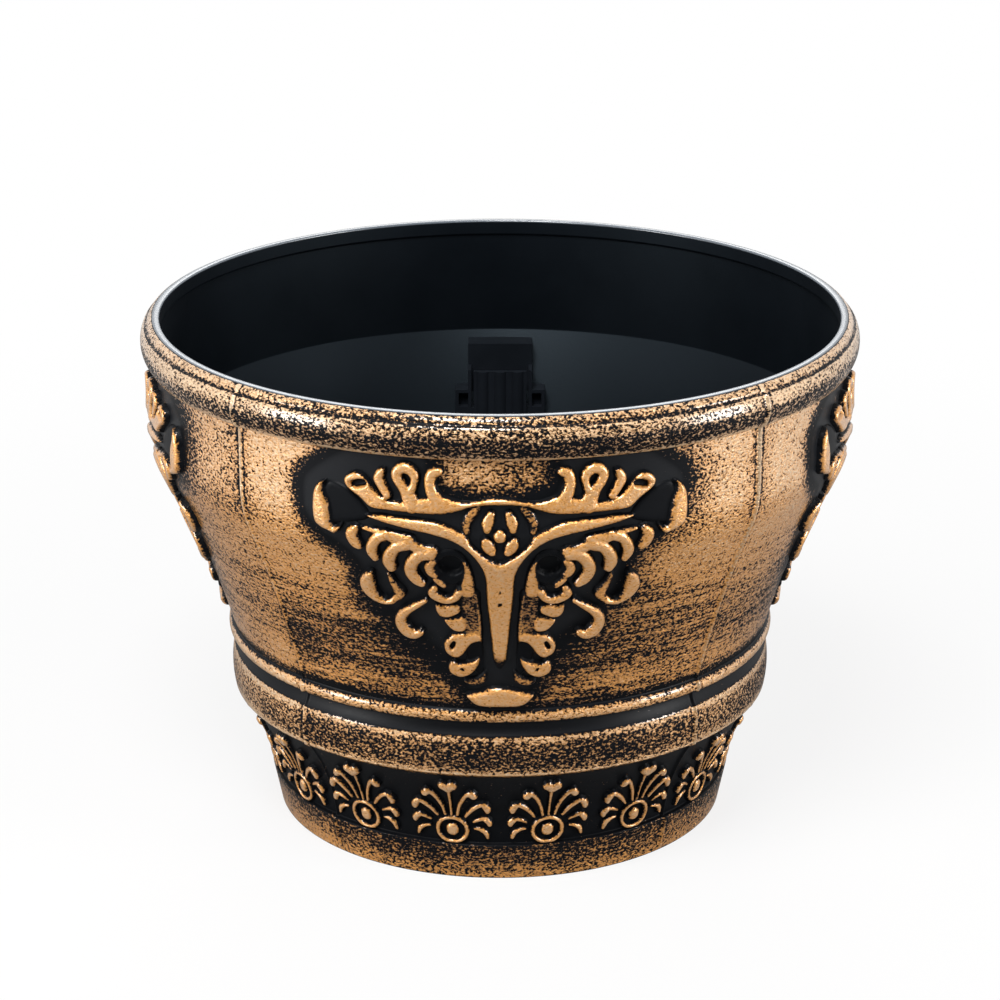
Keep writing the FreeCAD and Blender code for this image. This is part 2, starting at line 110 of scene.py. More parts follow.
# Section of the pot: radii of its curves, and the small steps of the lip
FRIEZE_CURVE = 80.0
BELT_CURVE = 43.0
GROOVE_CURVE = 12.0
RING_CURVE = 3.6
WALL_CURVE = 470.0
KINK_CURVE = 43.0
BEAD_CURVE = 11.6
LIP_CURVE = 4.2
LIP_EDGE = 0.7
LIP_EDGE_CURVE = 0.9
LIP_BAND_STEP = 0.7

# Section of the pot: each span ends at a radius and a height, with the radius of its curve (0 is
# straight, positive bulges to the right of its way, negative to the left), its step and its zone
SECTION_START = (OUTLET_R, FLOOR_Z)
SECTION = [
    (OUTLET_R, FLOOR_LOW_Z, 0, 2.0, "inside"),
    (FOOT_IN_R, FLOOR_LOW_Z, 0, 10.0, "inside"),
    (FOOT_IN_R, 0.0, 0, 3.0, "inside"),
    (FOOT_R, 0.0, 0, 2.0, "inside"),
    (PLINTH_R, PLINTH_Z, 0, 1.6, "plinth"),
    (FRIEZE_LOW_R, FRIEZE_LOW_Z, 0, 0.7, "frieze"),
    (FRIEZE_HIGH_R, FRIEZE_HIGH_Z, -FRIEZE_CURVE, 2.0, "frieze"),
    (BELT_R, BELT_LOW_Z, 0, 0.8, "belt_edge"),
    (BELT_R, BELT_HIGH_Z, BELT_CURVE, 1.4, "belt"),
    (GROOVE_R, GROOVE_Z, -GROOVE_CURVE, 0.9, "groove"),
    (RING_R, GROOVE_Z, 0, 0.8, "groove"),
    (RING_R, RING_Z, RING_CURVE, 0.6, "ring"),
    (WALL_LOW_R, WALL_LOW_Z, 0, 0.5, "groove"),
    (KINK_LOW_R, KINK_LOW_Z, -WALL_CURVE, 1.6, "wall"),
    (WALL_R, KINK_HIGH_Z, KINK_CURVE, 1.6, "wall"),
    (WALL_R, COLLAR_Z, 0, 1.6, "wall"),
    (BEAD_LOW_R, BEAD_LOW_Z, 0, 0.6, "bead_edge"),
    (BEAD_HIGH_R, BEAD_HIGH_Z, BEAD_CURVE, 0.9, "bead"),
    (BEAD_LOW_R, LIP_LOW_Z, 0, 0.5, "lip_foot"),
    (LIP_OUT_R, LIP_Z, LIP_CURVE, 0.6, "lip"),
    (LIP_IN_R + LIP_EDGE, LIP_Z, 0, 0.7, "lip_top"),
    (LIP_IN_R, LIP_Z - LIP_EDGE, LIP_EDGE_CURVE, 0.3, "lip_top"),
    (LIP_IN_R, LIP_BAND_Z, 0, 1.5, "inside"),
    (INNER_R, LIP_BAND_Z - LIP_BAND_STEP, 0, 0.6, "inside"),
    (INNER_R, KINK_Z, 0, 4.0, "inside"),
    (INNER_GROOVE_R, GROOVE_Z, WALL_CURVE, 3.0, "inside"),
    (INNER_BELT_R, BELT_LOW_Z, 0, 4.0, "inside"),
    (INNER_FRIEZE_R, FRIEZE_LOW_Z, FRIEZE_CURVE, 3.0, "inside"),
    (FLOOR_R, FLOOR_Z, 0, 2.0, "inside"),
    (OUTLET_R, FLOOR_Z, 0, 8.0, "inside"),
]
# A span has a row this close to each of its ends, where that is under this share of its step
EDGE_SUPPORT = 0.35
SUPPORT_SHARE = 0.3

# The lines where the four parts of the mould met: a ridge, and a step that fades beside it
PARTING_ANGLES = [math.radians(a) for a in (-44.0, 44.0, 136.0, 224.0)]
PARTING_RIDGE = 0.9
PARTING_WIDTH = 0.65
PARTING_STEP = 0.3
PARTING_FADE = 7.0

# Even columns round the pot, the close ones beside each parting line, and the room that they take
COLUMNS = 560
CLOSE_COLUMNS = (0.12, 0.35, 0.6, 0.9, 1.3, 1.7, 2.1, 2.6, 3.2)
CLOSE_ROOM = 3.9


def smoothstep(low, high, x):
    """0 below low, 1 above high, and a smooth rise between them."""
    share = np.clip((np.asarray(x, float) - low) / (high - low), 0.0, 1.0)
    return share * share * (3.0 - 2.0 * share)


def hump(x, centre, width):
    """A round hump: 1 at its centre, and next to nothing two widths away."""
    return np.exp(-((x - centre) / width) ** 2)


def turn_from(angle, line):
    """Turn from a line to an angle, at most half a turn either way."""
    return np.mod(angle - line + math.pi, math.tau) - math.pi


def across_side(angle, radius):
    """How far a point lies to the right of the middle of its side."""
    return radius * np.sin(np.mod(angle + SIDE_STEP / 2, SIDE_STEP) - SIDE_STEP / 2)


def arc_points(start, end, curve, count):
    """Points after start on the way to end; a positive radius bulges to the right of the way."""
    start = np.array(start, float)
    end = np.array(end, float)
    chord = end - start
    length = np.hypot(*chord)
    share = np.linspace(0.0, 1.0, count + 1)[1:, None]
    if curve == 0 or length < TINY:
        return start + chord * share
    right = np.array([chord[1], -chord[0]]) / length
    side = math.copysign(1.0, curve)
    radius = abs(curve)
    centre = (start + end) / 2 - right * side * math.sqrt(radius ** 2 - (length / 2) ** 2)
    half = math.asin(length / 2 / radius)
    swing = (share * 2.0 - 1.0) * half
    along = chord / length
    return centre + radius * (right * side * np.cos(swing) + along * np.sin(swing))


def section():
    """Radius, height, zone and place in the zone (0 to 1) of each row of the pot."""
    points = [SECTION_START]
    zones = ["inside"]
    places = [1.0]
    for radius, height, curve, step, zone in SECTION:
        start = points[-1]
        end = (radius, height)
        length = math.dist(start, end)
        count = max(1, round(length / step))
        span = arc_points(start, end, curve, count)
        share = np.arange(1, count + 1) / count
        edge = EDGE_SUPPORT / length
        if edge < SUPPORT_SHARE / count:
            ends = arc_points(start, end, curve, max(2, round(1 / edge)))
            span = np.vstack([ends[:1], span[:-1], ends[-2:]])
            share = np.concatenate([[edge], share[:-1], [1 - edge, 1.0]])
        for point, place in zip(span, share):
            points.append(tuple(point))
            zones.append(zone)
            places.append(float(place))
    return np.array(points[:-1]), zones[:-1], np.array(places[:-1])


rows, row_zones, row_places = section()
outer_rows = [i for i, zone in enumerate(row_zones) if zone in ("frieze", "belt", "wall")]


def outer_radius(height):
    """Radius of the plain outside at heights on the frieze, belt and wall."""
    table = rows[outer_rows]
    return np.interp(height, table[:, 1], table[:, 0])


# Raised ornament is drawn flat, u across and v up: how deep its foot and its back lie in the pot,
# the least thickness of its skin, and the slope of its sides
SINK = 0.5
BACK = 1.2
LEAST_SKIN = 0.5
SIDE_SLOPE = 2.2
# How much the strokes of each drawing are widened
LEAF_SWELL = 0.5
PALMETTE_SWELL = 0.1
# How boxy a form's section is; a thin stroke is lower: its height's share at no width, and the half
# width that adds one whole height
DOME_POWER = 2.3
THIN_SHARE = 0.4
THIN_HALF = 2.2
# A form still shows its paint this far under a higher one
OVERLAP = 0.15
# Beyond this reach of the forms nothing lies deeper than their foot
FORM_REACH = 0.5
# Step over which the slope of the pot is taken
SLOPE_STEP = 0.5


def through(stops, closed=False, per_span=6):
    """Smooth line (a Catmull-Rom curve) through the stops, each a place and any further values."""
    stops = np.array(stops, float)
    if closed:
        stops = np.vstack([stops[-1:], stops, stops[:2]])
    else:
        stops = np.vstack([2 * stops[0] - stops[1], stops, 2 * stops[-1] - stops[-2]])
    share = (np.arange(per_span) / per_span)[:, None]
    spans = []
    for a, b, c, d in zip(stops[:-3], stops[1:-2], stops[2:-1], stops[3:]):
        spans.append(0.5 * (2 * b + (c - a) * share + (2 * a - 5 * b + 4 * c - d) * share ** 2
                            + (3 * b - a - 3 * c + d) * share ** 3))
    if not closed:
        spans.append(stops[-2:-1])
    return np.vstack(spans)


def dome(away):
    """Section of a rounded form: 1 on its spine, where away is 0, and 0 at its edge, where it is 1."""
    return np.sqrt(np.clip(1.0 - np.clip(away, 0.0, 1.0) ** DOME_POWER, 0.0, 1.0))


def to_line(u, v, a, b):
    """Distance to the straight line from a to b, and the place on it from 0 to 1."""
    step = b - a
    share = ((u - a[0]) * step[0] + (v - a[1]) * step[1]) / max(step @ step, TINY)
    share = np.clip(share, 0.0, 1.0)
    return np.hypot(u - a[0] - share * step[0], v - a[1] - share * step[1]), share


def stroke_measure(u, v, swell, spine, height, flat=0.0):
    """Height of a stroke and the gap to its edge; the spine holds (u, v, half width)."""
    line = through(spine)
    raised = np.full(u.shape, -SINK)
    gap = np.full(u.shape, FAR)
    for a, b in zip(line[:-1], line[1:]):
        distance, share = to_line(u, v, a[:2], b[:2])
        half = a[2] + (b[2] - a[2]) * share + swell
        away = (distance / half - flat) / (1.0 - flat)
        outside = np.clip(distance - half, 0.0, None)
        low = np.minimum(1.0, THIN_SHARE + half / THIN_HALF)
        raised = np.maximum(raised, height * low * dome(away) - SIDE_SLOPE * outside)
        gap = np.minimum(gap, distance - half)
    return raised, gap


def patch_gap(u, v, outline):
    """Gap to the edge of a closed outline, negative inside it."""
    line = through(outline, closed=True)
    inside = np.zeros(u.shape, bool)
    distance = np.full(u.shape, FAR)
    for a, b in zip(line, np.roll(line, -1, axis=0)):
        distance = np.minimum(distance, to_line(u, v, a, b)[0])
        crossing = (a[1] > v) != (b[1] > v)
        if crossing.any():
            at = a[0] + (v - a[1]) / (b[1] - a[1] + TINY) * (b[0] - a[0])
            inside ^= crossing & (u < at)
    return np.where(inside, -distance, distance)


def patch_measure(u, v, outline, height, bevel):
    """Height of a flat-topped patch and the gap to its edge."""
    gap = patch_gap(u, v, outline)
    away = 1.0 + np.minimum(gap, 0.0) / bevel
    return height * dome(away) - SIDE_SLOPE * np.maximum(gap, 0.0), gap


def both_sides(half):
    """Outline that crosses the middle line, from its right half."""
    return half + [(-u, v) for u, v in reversed(half) if u > 0]


# Cartouche drawing: its right half, across from its middle line and up from the ground
TRUNK = both_sides([
    (0, 103.5), (2.4, 108), (3.0, 113), (3.6, 120), (4.4, 130), (5.3, 140), (5.6, 147), (6, 151.4),
    (7.5, 156), (10.4, 160.6), (14.4, 164.6), (20, 167.6), (27, 169.4), (35, 170.8), (45, 172.7),
    (51.5, 174.8), (46, 175.9), (38, 175.6), (30, 175.4), (23, 174.6), (17, 172), (12.6, 169.4),
    (10.6, 165.6), (7, 162), (3.6, 159.4), (0, 157.4),
])
TRUNK_HEIGHT = 2.9
TRUNK_BEVEL = 2.2
TRUNK_TIP = (103.0, 114.0)
FOOT_LENS = both_sides([
    (0, 96), (5, 95.2), (9, 93.6), (13.4, 92.4), (12.2, 89.6), (9.6, 87.2), (6, 86.3), (0, 86.2),
])
LENS_HEIGHT = 3.4
LENS_BEVEL = 3.0
PATCHES = [
    # outline, height, bevel and paint: end bar that closes the scoop
    ([(66.2, 187), (68.8, 185.6), (70.7, 182.6), (71.4, 178), (71.4, 173), (70.6, 169.4), (68.4, 167.4),
      (65.4, 166.3), (62.6, 165.6), (60.6, 168), (59.8, 171), (61.6, 169), (63.4, 168.8), (64.2, 171.4),
      (64.5, 175), (65.3, 179), (66.8, 182.6), (67, 185)], 3.5, 2.2, 1.0),
    # leaf band over the arm, its outermost leaf
    (both_sides([(0, 185), (5, 184.7), (9, 183.7), (14, 183.3), (18, 184.2), (22, 185.4), (27, 184.6),
      (32, 183.6), (37, 182), (42, 182.4), (46, 183), (49, 180.6), (47, 177.8), (42, 177.5), (34, 177.4),
      (26, 177.3), (20, 177.8), (15, 179.3), (10, 181), (5, 181.6), (0, 181.7)]), 2.7, 2.4, 0.96),
    ([(42.5, 182.6), (45.5, 184.2), (48.4, 187.4), (50.6, 190.4), (53.4, 192.2), (56.6, 191.6),
      (58.9, 189), (58.5, 186.2), (56, 183.8), (52.6, 181.4), (49.6, 178.6), (46, 177.8), (42, 178.6)],
      3.0, 1.7, 1.0),
    # plateau under the arm
    ([(23.2, 161.4), (24.4, 164.2), (28, 164.6), (31.6, 166), (33, 168.4), (39, 169.4), (46, 170),
      (52, 170.4), (52.4, 168.6), (47, 167), (42.6, 164.8), (37, 162.8), (31, 160.4), (26, 159)],
      2.4, 2.2, 0.96),
    # plate between the scallops and the stem, in three shades
    ([(14.6, 159), (13.8, 154.6), (14.4, 150), (15.2, 145), (14.6, 141), (11.2, 140.6), (9.4, 143),
      (9.8, 149), (11, 154.4), (12.8, 158)], 2.2, 1.0, 0.9),
    ([(14.6, 142), (15, 134), (14, 127), (13.6, 122), (9, 118.6), (7, 119.6), (7.2, 126), (7.8, 134),
      (9, 141.4)], 1.6, 0.8, 0.54),
    ([(10.2, 143), (9.5, 138), (9, 132), (8.8, 126), (9.6, 121), (7, 118), (6.7, 123), (7, 130),
      (7.8, 137), (8.6, 142.4)], 2.1, 0.8, 0.85),
    # scallops down the stem
    ([(24.8, 137.2), (24.9, 133.8), (23.4, 130.9), (20.6, 130.1), (17.6, 131.2), (15.2, 133.2),
      (15.4, 136.2), (18.4, 137), (21.6, 136.2)], 2.6, 1.5, 1.0),
    ([(21.6, 129.4), (20.4, 126.2), (17.6, 123.6), (13.8, 123.6), (12.6, 127), (14, 130.8),
      (17.6, 130.2)], 2.5, 1.4, 1.0),
    ([(17.2, 122.4), (20.2, 120.6), (21.9, 117), (21.3, 113.2), (18.9, 110.9), (16.2, 110.5),
      (13.8, 112.6), (12.2, 115.6), (10.2, 118), (7.2, 119.2), (6.8, 121.6), (9, 123.6), (13, 123)],
      2.9, 1.8, 1.0),
    ([(18.6, 109.6), (20.3, 106.6), (19.9, 103.4), (17.7, 101.5), (14.8, 100.8), (11.8, 101.9),
      (9.4, 104.6), (7.8, 108.2), (7.8, 111), (9.2, 110), (11.2, 109), (14, 108), (16.8, 107.9)],
      2.9, 1.8, 0.98),
    ([(5.4, 104), (7.2, 102.4), (9.8, 100.4), (14.2, 99.2), (13, 96.8), (9.5, 96.4), (5.6, 98.6)],
      1.7, 1.2, 0.6),
]
STROKES = [
    # spine with half widths, height, flatness and paint: fingers over the leaf band
    ([(22, 181.5, 2.6), (24.6, 184.6, 2.4), (26.1, 188, 2.0), (26.3, 191.4, 2.0), (25.3, 194.1, 2.0),
      (23.2, 195, 1.6)], 3.1, 0.1, 1.0),
    ([(33.4, 180.5, 3.0), (34.2, 184, 2.8), (36.2, 187.4, 1.9), (38.3, 190.6, 1.8), (38.8, 193.4, 1.9),
      (36.6, 195.5, 2.0), (33.6, 194.8, 1.9), (32.1, 192.4, 1.6), (32.2, 189.6, 1.2), (33.2, 187, 1.5)],
      3.1, 0.1, 1.0),
    ([(42.4, 184, 1.4), (44.4, 187.4, 1.6), (45.7, 190.4, 1.8), (44.9, 192.8, 1.4), (44.2, 193.8, 0.8)],
      3.0, 0.1, 1.0),
    # crescents under the arm, from the outside inward
    ([(55, 169, 1.5), (56.4, 166.4, 2.3), (55.2, 163, 2.0), (53.6, 161.6, 1.2)], 2.9, 0.1, 0.95),
    ([(43.5, 167.6, 2.0), (46.6, 166, 2.0), (48.4, 163, 2.1), (48.8, 160, 2.0), (47.4, 157.2, 1.3)],
      3.0, 0.1, 1.0),
    ([(35.6, 164.4, 2.4), (39.2, 163, 2.2), (41.6, 159.6, 2.4), (42.3, 156, 2.5), (41.4, 153.2, 1.9)],
      3.0, 0.1, 1.0),
    ([(26.6, 161, 2.4), (30.6, 160, 2.4), (33.4, 156.4, 2.4), (34, 152.4, 2.4), (32.2, 148.6, 2.2),
      (29.8, 146.6, 1.4)], 3.1, 0.1, 1.0),
    ([(25.4, 157.6, 1.2), (26.9, 155.2, 1.7), (26.4, 152.4, 1.6), (24.8, 150.8, 0.9)], 2.6, 0.1, 0.92),
    ([(24.6, 149, 0.9), (22.8, 147.2, 1.2), (21.4, 145.9, 0.8)], 2.4, 0.0, 0.95),
    # scallop under the eye
    ([(25, 144.8, 1.2), (25.8, 142, 1.7), (23.4, 139.9, 1.7), (20.2, 139, 1.5), (17.2, 140.4, 1.5),
      (15.6, 143.2, 1.5)], 3.0, 0.1, 1.0),
    # hanging drop
    ([(49.6, 149, 0.9), (50.7, 146.4, 2.2), (50.9, 143.2, 2.9), (49.8, 139.9, 2.4), (47.4, 137.3, 1.5),
      (44.2, 135.9, 0.9), (41, 136.6, 1.0)], 3.4, 0.1, 1.0),
    ([(42.6, 149.6, 0.6), (41.2, 146.2, 0.9), (39.8, 143, 1.5), (38.4, 140.4, 2.0), (39.6, 138.2, 1.6),
      (41.6, 136.8, 0.9)], 2.6, 0.1, 0.8),
    # free curl
    ([(28.5, 138.5, 0.9), (32.2, 135.4, 1.3), (35.9, 132.2, 1.7), (38, 129, 2.0), (38.1, 125.4, 2.2),
      (36.2, 122, 2.3), (33.3, 120.6, 2.0), (30.9, 121.8, 1.4)], 3.3, 0.1, 1.0),
    # rosette: button, frame and petals
    ([(0, 169.6, 2.2), (0, 169, 2.2)], 2.6, 0.1, 0.95),
    ([(8.4, 180.6, 0.9), (11.2, 177.6, 1.7), (12.9, 174, 1.5), (12.6, 171, 1.0)], 1.8, 0.1, 0.66),
    ([(4.9, 172, 1.2), (4.6, 175, 2.1), (3.3, 178.2, 1.3)], 2.4, 0.1, 0.95),
    ([(3, 162.6, 1.4), (4.5, 165, 2.3), (5.4, 167.2, 1.4)], 2.4, 0.1, 0.95),
]
BEDS = [
    # low bare ground that joins the lobes: in the scoop, beside the stem, round the eye
    ([(50, 173.6), (53, 180), (60, 185.4), (66, 186), (68, 178), (66, 169.4), (60, 170)], 1.0, 2.4, -0.3),
    ([(8, 143), (16, 140), (21, 132), (19, 124), (14, 114), (12, 106), (7, 101), (6.4, 112), (7.4, 128)],
      0.8, 1.2, -0.24),
    ([(12.4, 157), (15, 161.4), (19, 162.8), (24, 161), (26, 156), (25.4, 150), (21, 145.6), (16, 146),
      (12.8, 151)], 0.9, 1.2, -0.24),
]
SLITS = [
    # spine of a cut and the height of its floor
    ([(51.6, 188, 0.9), (53.4, 187.7, 1.1), (55, 187.1, 0.9)], 0.5),
    ([(17.7, 118.4, 0.35), (18.4, 116.6, 0.6), (18.7, 115.4, 0.3)], 1.2),
    ([(14.7, 105.6, 0.25), (14.3, 105, 0.25)], 1.8),
    ([(0.3, 138.2, 0.2), (0.3, 137.8, 0.2)], 1.9),
    ([(-0.2, 144.4, 0.2), (-0.2, 144, 0.2)], 1.9),
]
# Slope of a cut's sides, and the bare edge beside it
SLIT_SLOPE = 2.5
SLIT_BARE = 0.6
# The eye, a well through the relief: its floor, its rim, its slope and its bare edge, and the dent
# that the pot has under it
EYE = (18.9, 155.2)
EYE_WELL = 5.0
EYE_FLOOR = -1.8
EYE_RIM = 0.5
EYE_SLOPE = 5.0
EYE_BARE = 0.5
EYE_DENT = 2.0
DENT_EDGE = (EYE_WELL - 0.2, EYE_WELL + 1.2)
# Half width, foot and top of the drawn field, and the step of its mesh
LEAF_FIELD = (76.0, 84.6, 198.8)
LEAF_PITCH = 0.45
# Paint on a form: thin from its edge inward, full on its top, and the share that the thin one makes
PAINT_EDGE = (-0.05, 0.5)
PAINT_TOP = (0.15, 1.4)
EDGE_PAINT = 0.6


def circle_spine(centre, radius, half, count=16):
    """Spine of a ring, for a stroke."""
    spine = []
    for turn in np.linspace(0.0, math.tau, count + 1):
        spine.append((centre[0] + radius * math.cos(turn), centre[1] + radius * math.sin(turn), half))
    return spine


def brushed(gap):
    """Paint on a form by the gap to its edge: thin on its sides, full on its top."""
    return EDGE_PAINT * smoothstep(*PAINT_EDGE, -gap) + (1.0 - EDGE_PAINT) * smoothstep(*PAINT_TOP, -gap)


def measure(u, v, swell, strokes, patches):
    """Height of a drawing, the gap to its nearest edge, and its paint."""
    raised = np.full(u.shape, -FAR)
    gap = np.full(u.shape, FAR)
    paint = np.zeros(u.shape)
    forms = [(stroke_measure(u, v, swell, *form[:-1]), form[-1]) for form in strokes]
    forms += [(patch_measure(u, v, *form[:-1]), form[-1]) for form in patches]
    for (height, edge), cover in forms:
        painted = brushed(edge) * cover
        if cover > 0:
            painted = np.maximum(painted, paint)
        paint = np.where(height > raised - OVERLAP, painted, paint)
        raised = np.maximum(raised, height)
        gap = np.minimum(gap, edge)
    return raised, gap, paint


def measure_cartouche(x, v):
    """The leaf drawing with its trunk and foot lens, cut by the slits and the eyes."""
    u = np.abs(x)
    raised, gap, paint = measure(u, v, LEAF_SWELL, STROKES, BEDS + PATCHES)
    tip = smoothstep(*TRUNK_TIP, v)
    middle = [(TRUNK, TRUNK_HEIGHT, TRUNK_BEVEL, tip), (FOOT_LENS, LENS_HEIGHT, LENS_BEVEL, 1.0)]
    for outline, height, bevel, low in middle:
        form, edge = patch_measure(u, v, outline, height, bevel)
        raised = np.maximum(raised, np.where(form > 0, form * low, form))
        gap = np.minimum(gap, edge)
        paint = np.maximum(paint, brushed(edge) * low)
    for spine, floor in SLITS:
        edge = stroke_measure(u, v, 0.0, spine, 1.0)[1]
        raised = np.minimum(raised, floor + np.clip(edge, 0.0, None) * SLIT_SLOPE)
        paint = np.minimum(paint, smoothstep(0.0, SLIT_BARE, edge))
    well = np.hypot(u - EYE[0], v - EYE[1]) - EYE_WELL
    raised = np.minimum(raised, EYE_FLOOR + np.clip(well + EYE_RIM, 0.0, None) * EYE_SLOPE)
    return raised, gap, np.minimum(paint, smoothstep(0.0, EYE_BARE, well))


# Palmette drawing: its right half, across from its stalk and up from the ground
PALMETTE_HALF = [
    # spine with half widths, height, flatness and paint: petals and their beads, stalk, button, ring
    ([(2.5, 31.2, 0.8), (3.6, 36, 0.9), (6, 41, 1.05), (8.4, 43.6, 1.3), (9.8, 42.6, 1.2)],
      2.2, 0.0, 1.0),
    ([(9.2, 43.2, 1.9), (9.9, 42.4, 1.9)], 2.7, 0.0, 1.0),
    ([(5.8, 30.6, 0.8), (9, 34.8, 1.15), (12.8, 37.4, 1.2), (14.6, 36, 1.2)], 2.2, 0.0, 1.0),
    ([(14.2, 36.6, 1.7), (14.9, 35, 1.7), (14.8, 33.6, 0.9)], 2.6, 0.0, 1.0),
    ([(8.8, 27.6, 0.6), (10.8, 28.8, 0.95), (13.5, 29.7, 1.1)], 2.0, 0.0, 1.0),
    ([(14.2, 29.2, 1.6), (15.2, 27.8, 1.6), (15.2, 26.2, 0.8)], 2.4, 0.0, 1.0),
    ([(9.2, 24.4, 0.7), (11.2, 24.1, 1.0), (13.4, 22.6, 1.3), (14.2, 20, 0.9)], 2.1, 0.0, 1.0),
    ([(0, 31, 0.7), (0, 38, 0.7), (0, 45, 1.0)], 2.0, 0.0, 1.0),
    ([(0, 46.2, 2.2), (1.9, 47.8, 2.2)], 2.8, 0.0, 1.0),
    ([(0, 23.9, 2.7), (0, 22.9, 2.7)], 2.2, 0.1, 0.95),
    (circle_spine((0.0, 23.4), 6.1, 1.0), 2.2, 0.0, 1.0),
]
PALMETTE_FIELD = (18.6, 16.9, 51.4)
PALMETTE_PITCH = 0.36


def measure_palmette(x, v):
    return measure(np.abs(x), v, PALMETTE_SWELL, PALMETTE_HALF, [])


# Meshes
def quad_mesh(name, points, quads, smooth=True):
    """Mesh object from points in mm and rows of four point numbers."""
    mesh = bpy.data.meshes.new(name)
    mesh.vertices.add(len(points))
    mesh.vertices.foreach_set("co", (points * MM).astype(np.float32).ravel())
    mesh.loops.add(quads.size)
    mesh.loops.foreach_set("vertex_index", quads.astype(np.int32).ravel())
    mesh.polygons.add(len(quads))
    mesh.polygons.foreach_set("loop_start", np.arange(0, quads.size, 4, dtype=np.int32))
    mesh.polygons.foreach_set("use_smooth", np.full(len(quads), smooth))
    mesh.update(calc_edges=True)
    mesh.validate()
    piece = bpy.data.objects.new(name, mesh)
    bpy.context.scene.collection.objects.link(piece)
    return piece


def give_finish(piece, paint, streak, pale_sheen, fleck):
    """The numbers that the bronzed plastic reads at each point of the mesh, or one for all of them."""
    count = len(piece.data.vertices)
    for name, values in (("paint", paint), ("streak", streak), ("pale_sheen", pale_sheen), ("fleck", fleck)):
        layer = piece.data.attributes.new(name, "FLOAT", "POINT")
        layer.data.foreach_set("value", np.full(count, np.ravel(values), np.float32))


def fill_diagonals(cells):
    """Keeps cells that meet only at a corner from making a pinched edge."""
    while True:
        a, b = cells[:-1, :-1], cells[:-1, 1:]
        c, d = cells[1:, :-1], cells[1:, 1:]
        rising = a & d & ~b & ~c
        falling = b & c & ~a & ~d
        if not (rising.any() or falling.any()):
            return cells
        b |= rising
        a |= falling


# Way to each neighbour of a cell, and the cell's corners where the side toward it starts and ends
CELL_SIDES = [
    ((-1, 0), (0, 0), (0, 1)),
    ((1, 0), (1, 1), (1, 0)),
    ((0, -1), (1, 0), (0, 0)),
    ((0, 1), (0, 1), (1, 1)),
]


def skin_faces(cells, numbers):
    """Faces of a closed skin: front and back of the used cells, and their sides toward unused ones."""
    shift = numbers.size
    row, column = np.nonzero(cells)
    front = np.stack([numbers[row, column], numbers[row, column + 1],
                      numbers[row + 1, column + 1], numbers[row + 1, column]], -1)
    faces = [front, front[:, ::-1] + shift]
    kept = np.pad(cells, 1)
    for (row_step, column_step), start, end in CELL_SIDES:
        beside = np.roll(kept, (-row_step, -column_step), (0, 1))[1:-1, 1:-1]
        row, column = np.nonzero(cells & ~beside)
        a = numbers[row + start[0], column + start[1]]
        b = numbers[row + end[0], column + end[1]]
        faces.append(np.stack([b, a, a + shift, b + shift], -1))
    return np.vstack(faces)


def relief_form(field, pitch, measure_drawing):
    """Points, faces and paint of one ornament at the front, a closed skin seated in the pot's outside."""
    half, low, high = field
    across = np.linspace(-half, half, 2 * round(half / pitch) + 1)
    up = np.linspace(low, high, round((high - low) / pitch) + 1)
    x, v = np.meshgrid(across, up)
    raised, gap, paint = measure_drawing(x, v)
    raised = np.where(gap > FORM_REACH, np.maximum(raised, -SINK), raised)
    used = np.abs(raised + SINK) > SAME
    cells = fill_diagonals(used[:-1, :-1] | used[:-1, 1:] | used[1:, :-1] | used[1:, 1:])
    radius = outer_radius(v)
    slope = (outer_radius(v + SLOPE_STEP) - outer_radius(v - SLOPE_STEP)) / (2 * SLOPE_STEP)
    y = -np.sqrt(radius ** 2 - x ** 2)
    normal = np.stack([x / radius, y / radius, -slope], -1)
    normal /= np.linalg.norm(normal, axis=-1, keepdims=True)
    ground = np.stack([x, y, v], -1)
    front = ground + normal * raised[..., None]
    back = ground - normal * np.maximum(BACK, LEAST_SKIN - raised)[..., None]
    points = np.concatenate([front.reshape(-1, 3), back.reshape(-1, 3)])
    paint = np.concatenate([paint.ravel(), np.zeros(x.size)])
    faces = skin_faces(cells, np.arange(x.size).reshape(x.shape))
    found, faces = np.unique(faces, return_inverse=True)
    return points[found], faces.reshape(-1, 4), paint[found]


def from_seam(angle, radius):
    """Way round from the nearest parting line to a point, positive to the line's right."""
    away = np.full(np.broadcast(angle, radius).shape, FAR)
    for line in PARTING_ANGLES:
        turn = turn_from(angle, line) * radius
        away = np.where(np.abs(turn) < np.abs(away), turn, away)
    return away


def parting_lift(angle, radius):
    """How far the outside stands proud at and beside the parting lines."""
    away = from_seam(angle, radius)
    step = np.tanh(away / PARTING_WIDTH) * np.exp(-np.abs(away) / PARTING_FADE)
    return PARTING_RIDGE * hump(away, 0.0, PARTING_WIDTH) + PARTING_STEP * step


def column_angles():
    """Even columns, with close ones beside each parting line."""
    even = np.arange(COLUMNS) / COLUMNS * math.tau
    near = np.array(CLOSE_COLUMNS) / WALL_R
    near = np.concatenate([-near[::-1], near])
    for line in PARTING_ANGLES:
        even = even[np.abs(turn_from(even, line)) > CLOSE_ROOM / WALL_R]
    close = np.concatenate([np.mod(line + near, math.tau) for line in PARTING_ANGLES])
    return np.sort(np.concatenate([even, close]))


